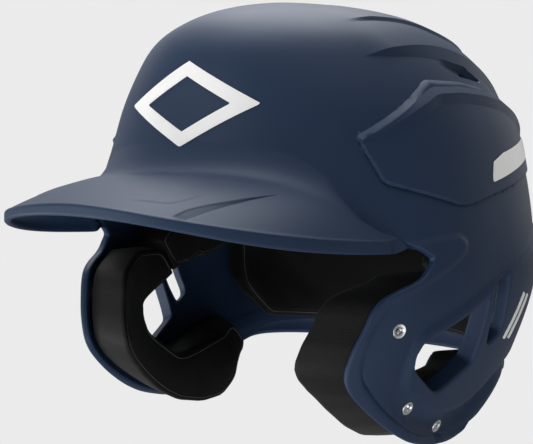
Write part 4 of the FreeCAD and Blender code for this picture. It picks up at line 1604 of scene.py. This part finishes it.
# (radius, z) of the floor
FLOOR_PROFILE = [(0.0, -0.0008), (0.6, -0.0008), (1.5, -0.0008), (2.4, 0.0), (2.9, 0.10),
                 (3.25, 0.4), (3.45, 0.9), (3.5, 1.6), (3.5, 3.2)]
FLOOR_SEGMENTS = 96


def add_camera():
    data = bpy.data.cameras.new("camera")
    camera = bpy.data.objects.new("camera", data)
    bpy.context.scene.collection.objects.link(camera)
    axes = Matrix((CAMERA_RIGHT, CAMERA_UP, -Vector(CAMERA_FORWARD))).transposed()
    camera.matrix_world = Matrix.Translation(Vector(CAMERA_PLACE) + SHIFT) @ axes.to_4x4()
    data.sensor_width, data.lens = 36.0, 79.677
    data.clip_start, data.clip_end = 0.02, 50
    bpy.context.scene.camera = camera


def add_light(name, place, size, power):
    data = bpy.data.lights.new(name, "AREA")
    data.energy = power
    data.shape = "RECTANGLE"
    data.size = data.size_y = size
    light = bpy.data.objects.new(name, data)
    light.location = Vector(place) + SHIFT
    aim = (Vector(LIGHT_TARGET) + SHIFT) - (Vector(place) + SHIFT)
    light.rotation_euler = aim.to_track_quat("-Z", "Y").to_euler()
    bpy.context.scene.collection.objects.link(light)


def set_background(node, colour, strength):
    node.inputs[0].default_value = colour
    node.inputs[1].default_value = strength


def add_world():
    """Grey light all round, with a paler grey where the camera looks at it."""
    world = bpy.data.worlds.new("studio")
    bpy.context.scene.world = world
    world.use_nodes = True
    nodes, link = world.node_tree.nodes, world.node_tree.links.new
    ambient = nodes["Background"]
    set_background(ambient, WORLD_GREY, WORLD_STRENGTH)
    seen = nodes.new("ShaderNodeBackground")
    set_background(seen, BACKDROP_GREY, 1.0)
    path = nodes.new("ShaderNodeLightPath")
    mix = nodes.new("ShaderNodeMixShader")
    output = [node for node in nodes if node.type == "OUTPUT_WORLD"][0]
    link(path.outputs["Is Camera Ray"], mix.inputs[0])
    link(ambient.outputs[0], mix.inputs[1])
    link(seen.outputs[0], mix.inputs[2])
    link(mix.outputs[0], output.inputs[0])


def floor_material():
    material = bpy.data.materials.new("floor_pale")
    material.use_nodes = True
    tree = material.node_tree
    tree.nodes.clear()
    output = tree.nodes.new("ShaderNodeOutputMaterial")
    glow = tree.nodes.new("ShaderNodeEmission")
    set_background(glow, BACKDROP_GREY, 1.0)
    tree.links.new(glow.outputs[0], output.inputs[0])
    return material


def add_floor():
    """Wide pale disc that turns up far out, seen only by the camera."""
    edit = bmesh.new()
    angles = [2 * math.pi * k / FLOOR_SEGMENTS for k in range(FLOOR_SEGMENTS)]
    centre = edit.verts.new((0, 0, FLOOR_PROFILE[0][1]))
    rings = [[edit.verts.new((radius * math.cos(angle), radius * math.sin(angle), z))
              for angle in angles] for radius, z in FLOOR_PROFILE[1:]]
    for k in range(FLOOR_SEGMENTS):
        edit.faces.new((centre, rings[0][k], rings[0][(k + 1) % FLOOR_SEGMENTS]))
    for inner, outer in zip(rings, rings[1:]):
        for k in range(FLOOR_SEGMENTS):
            after = (k + 1) % FLOOR_SEGMENTS
            edit.faces.new((inner[k], outer[k], outer[after], inner[after]))
    mesh = bpy.data.meshes.new("floor")
    edit.to_mesh(mesh)
    edit.free()
    for polygon in mesh.polygons:
        polygon.use_smooth = True
    floor = bpy.data.objects.new("floor", mesh)
    bpy.context.scene.collection.objects.link(floor)
    mesh.materials.append(floor_material())
    floor.visible_glossy = False
    floor.visible_diffuse = False
    floor.visible_shadow = False


add_camera()
for light in LIGHTS:
    add_light(*light)
add_world()
add_floor()
bpy.context.scene.view_settings.view_transform = "Standard"
bpy.context.scene.view_settings.look = "None"
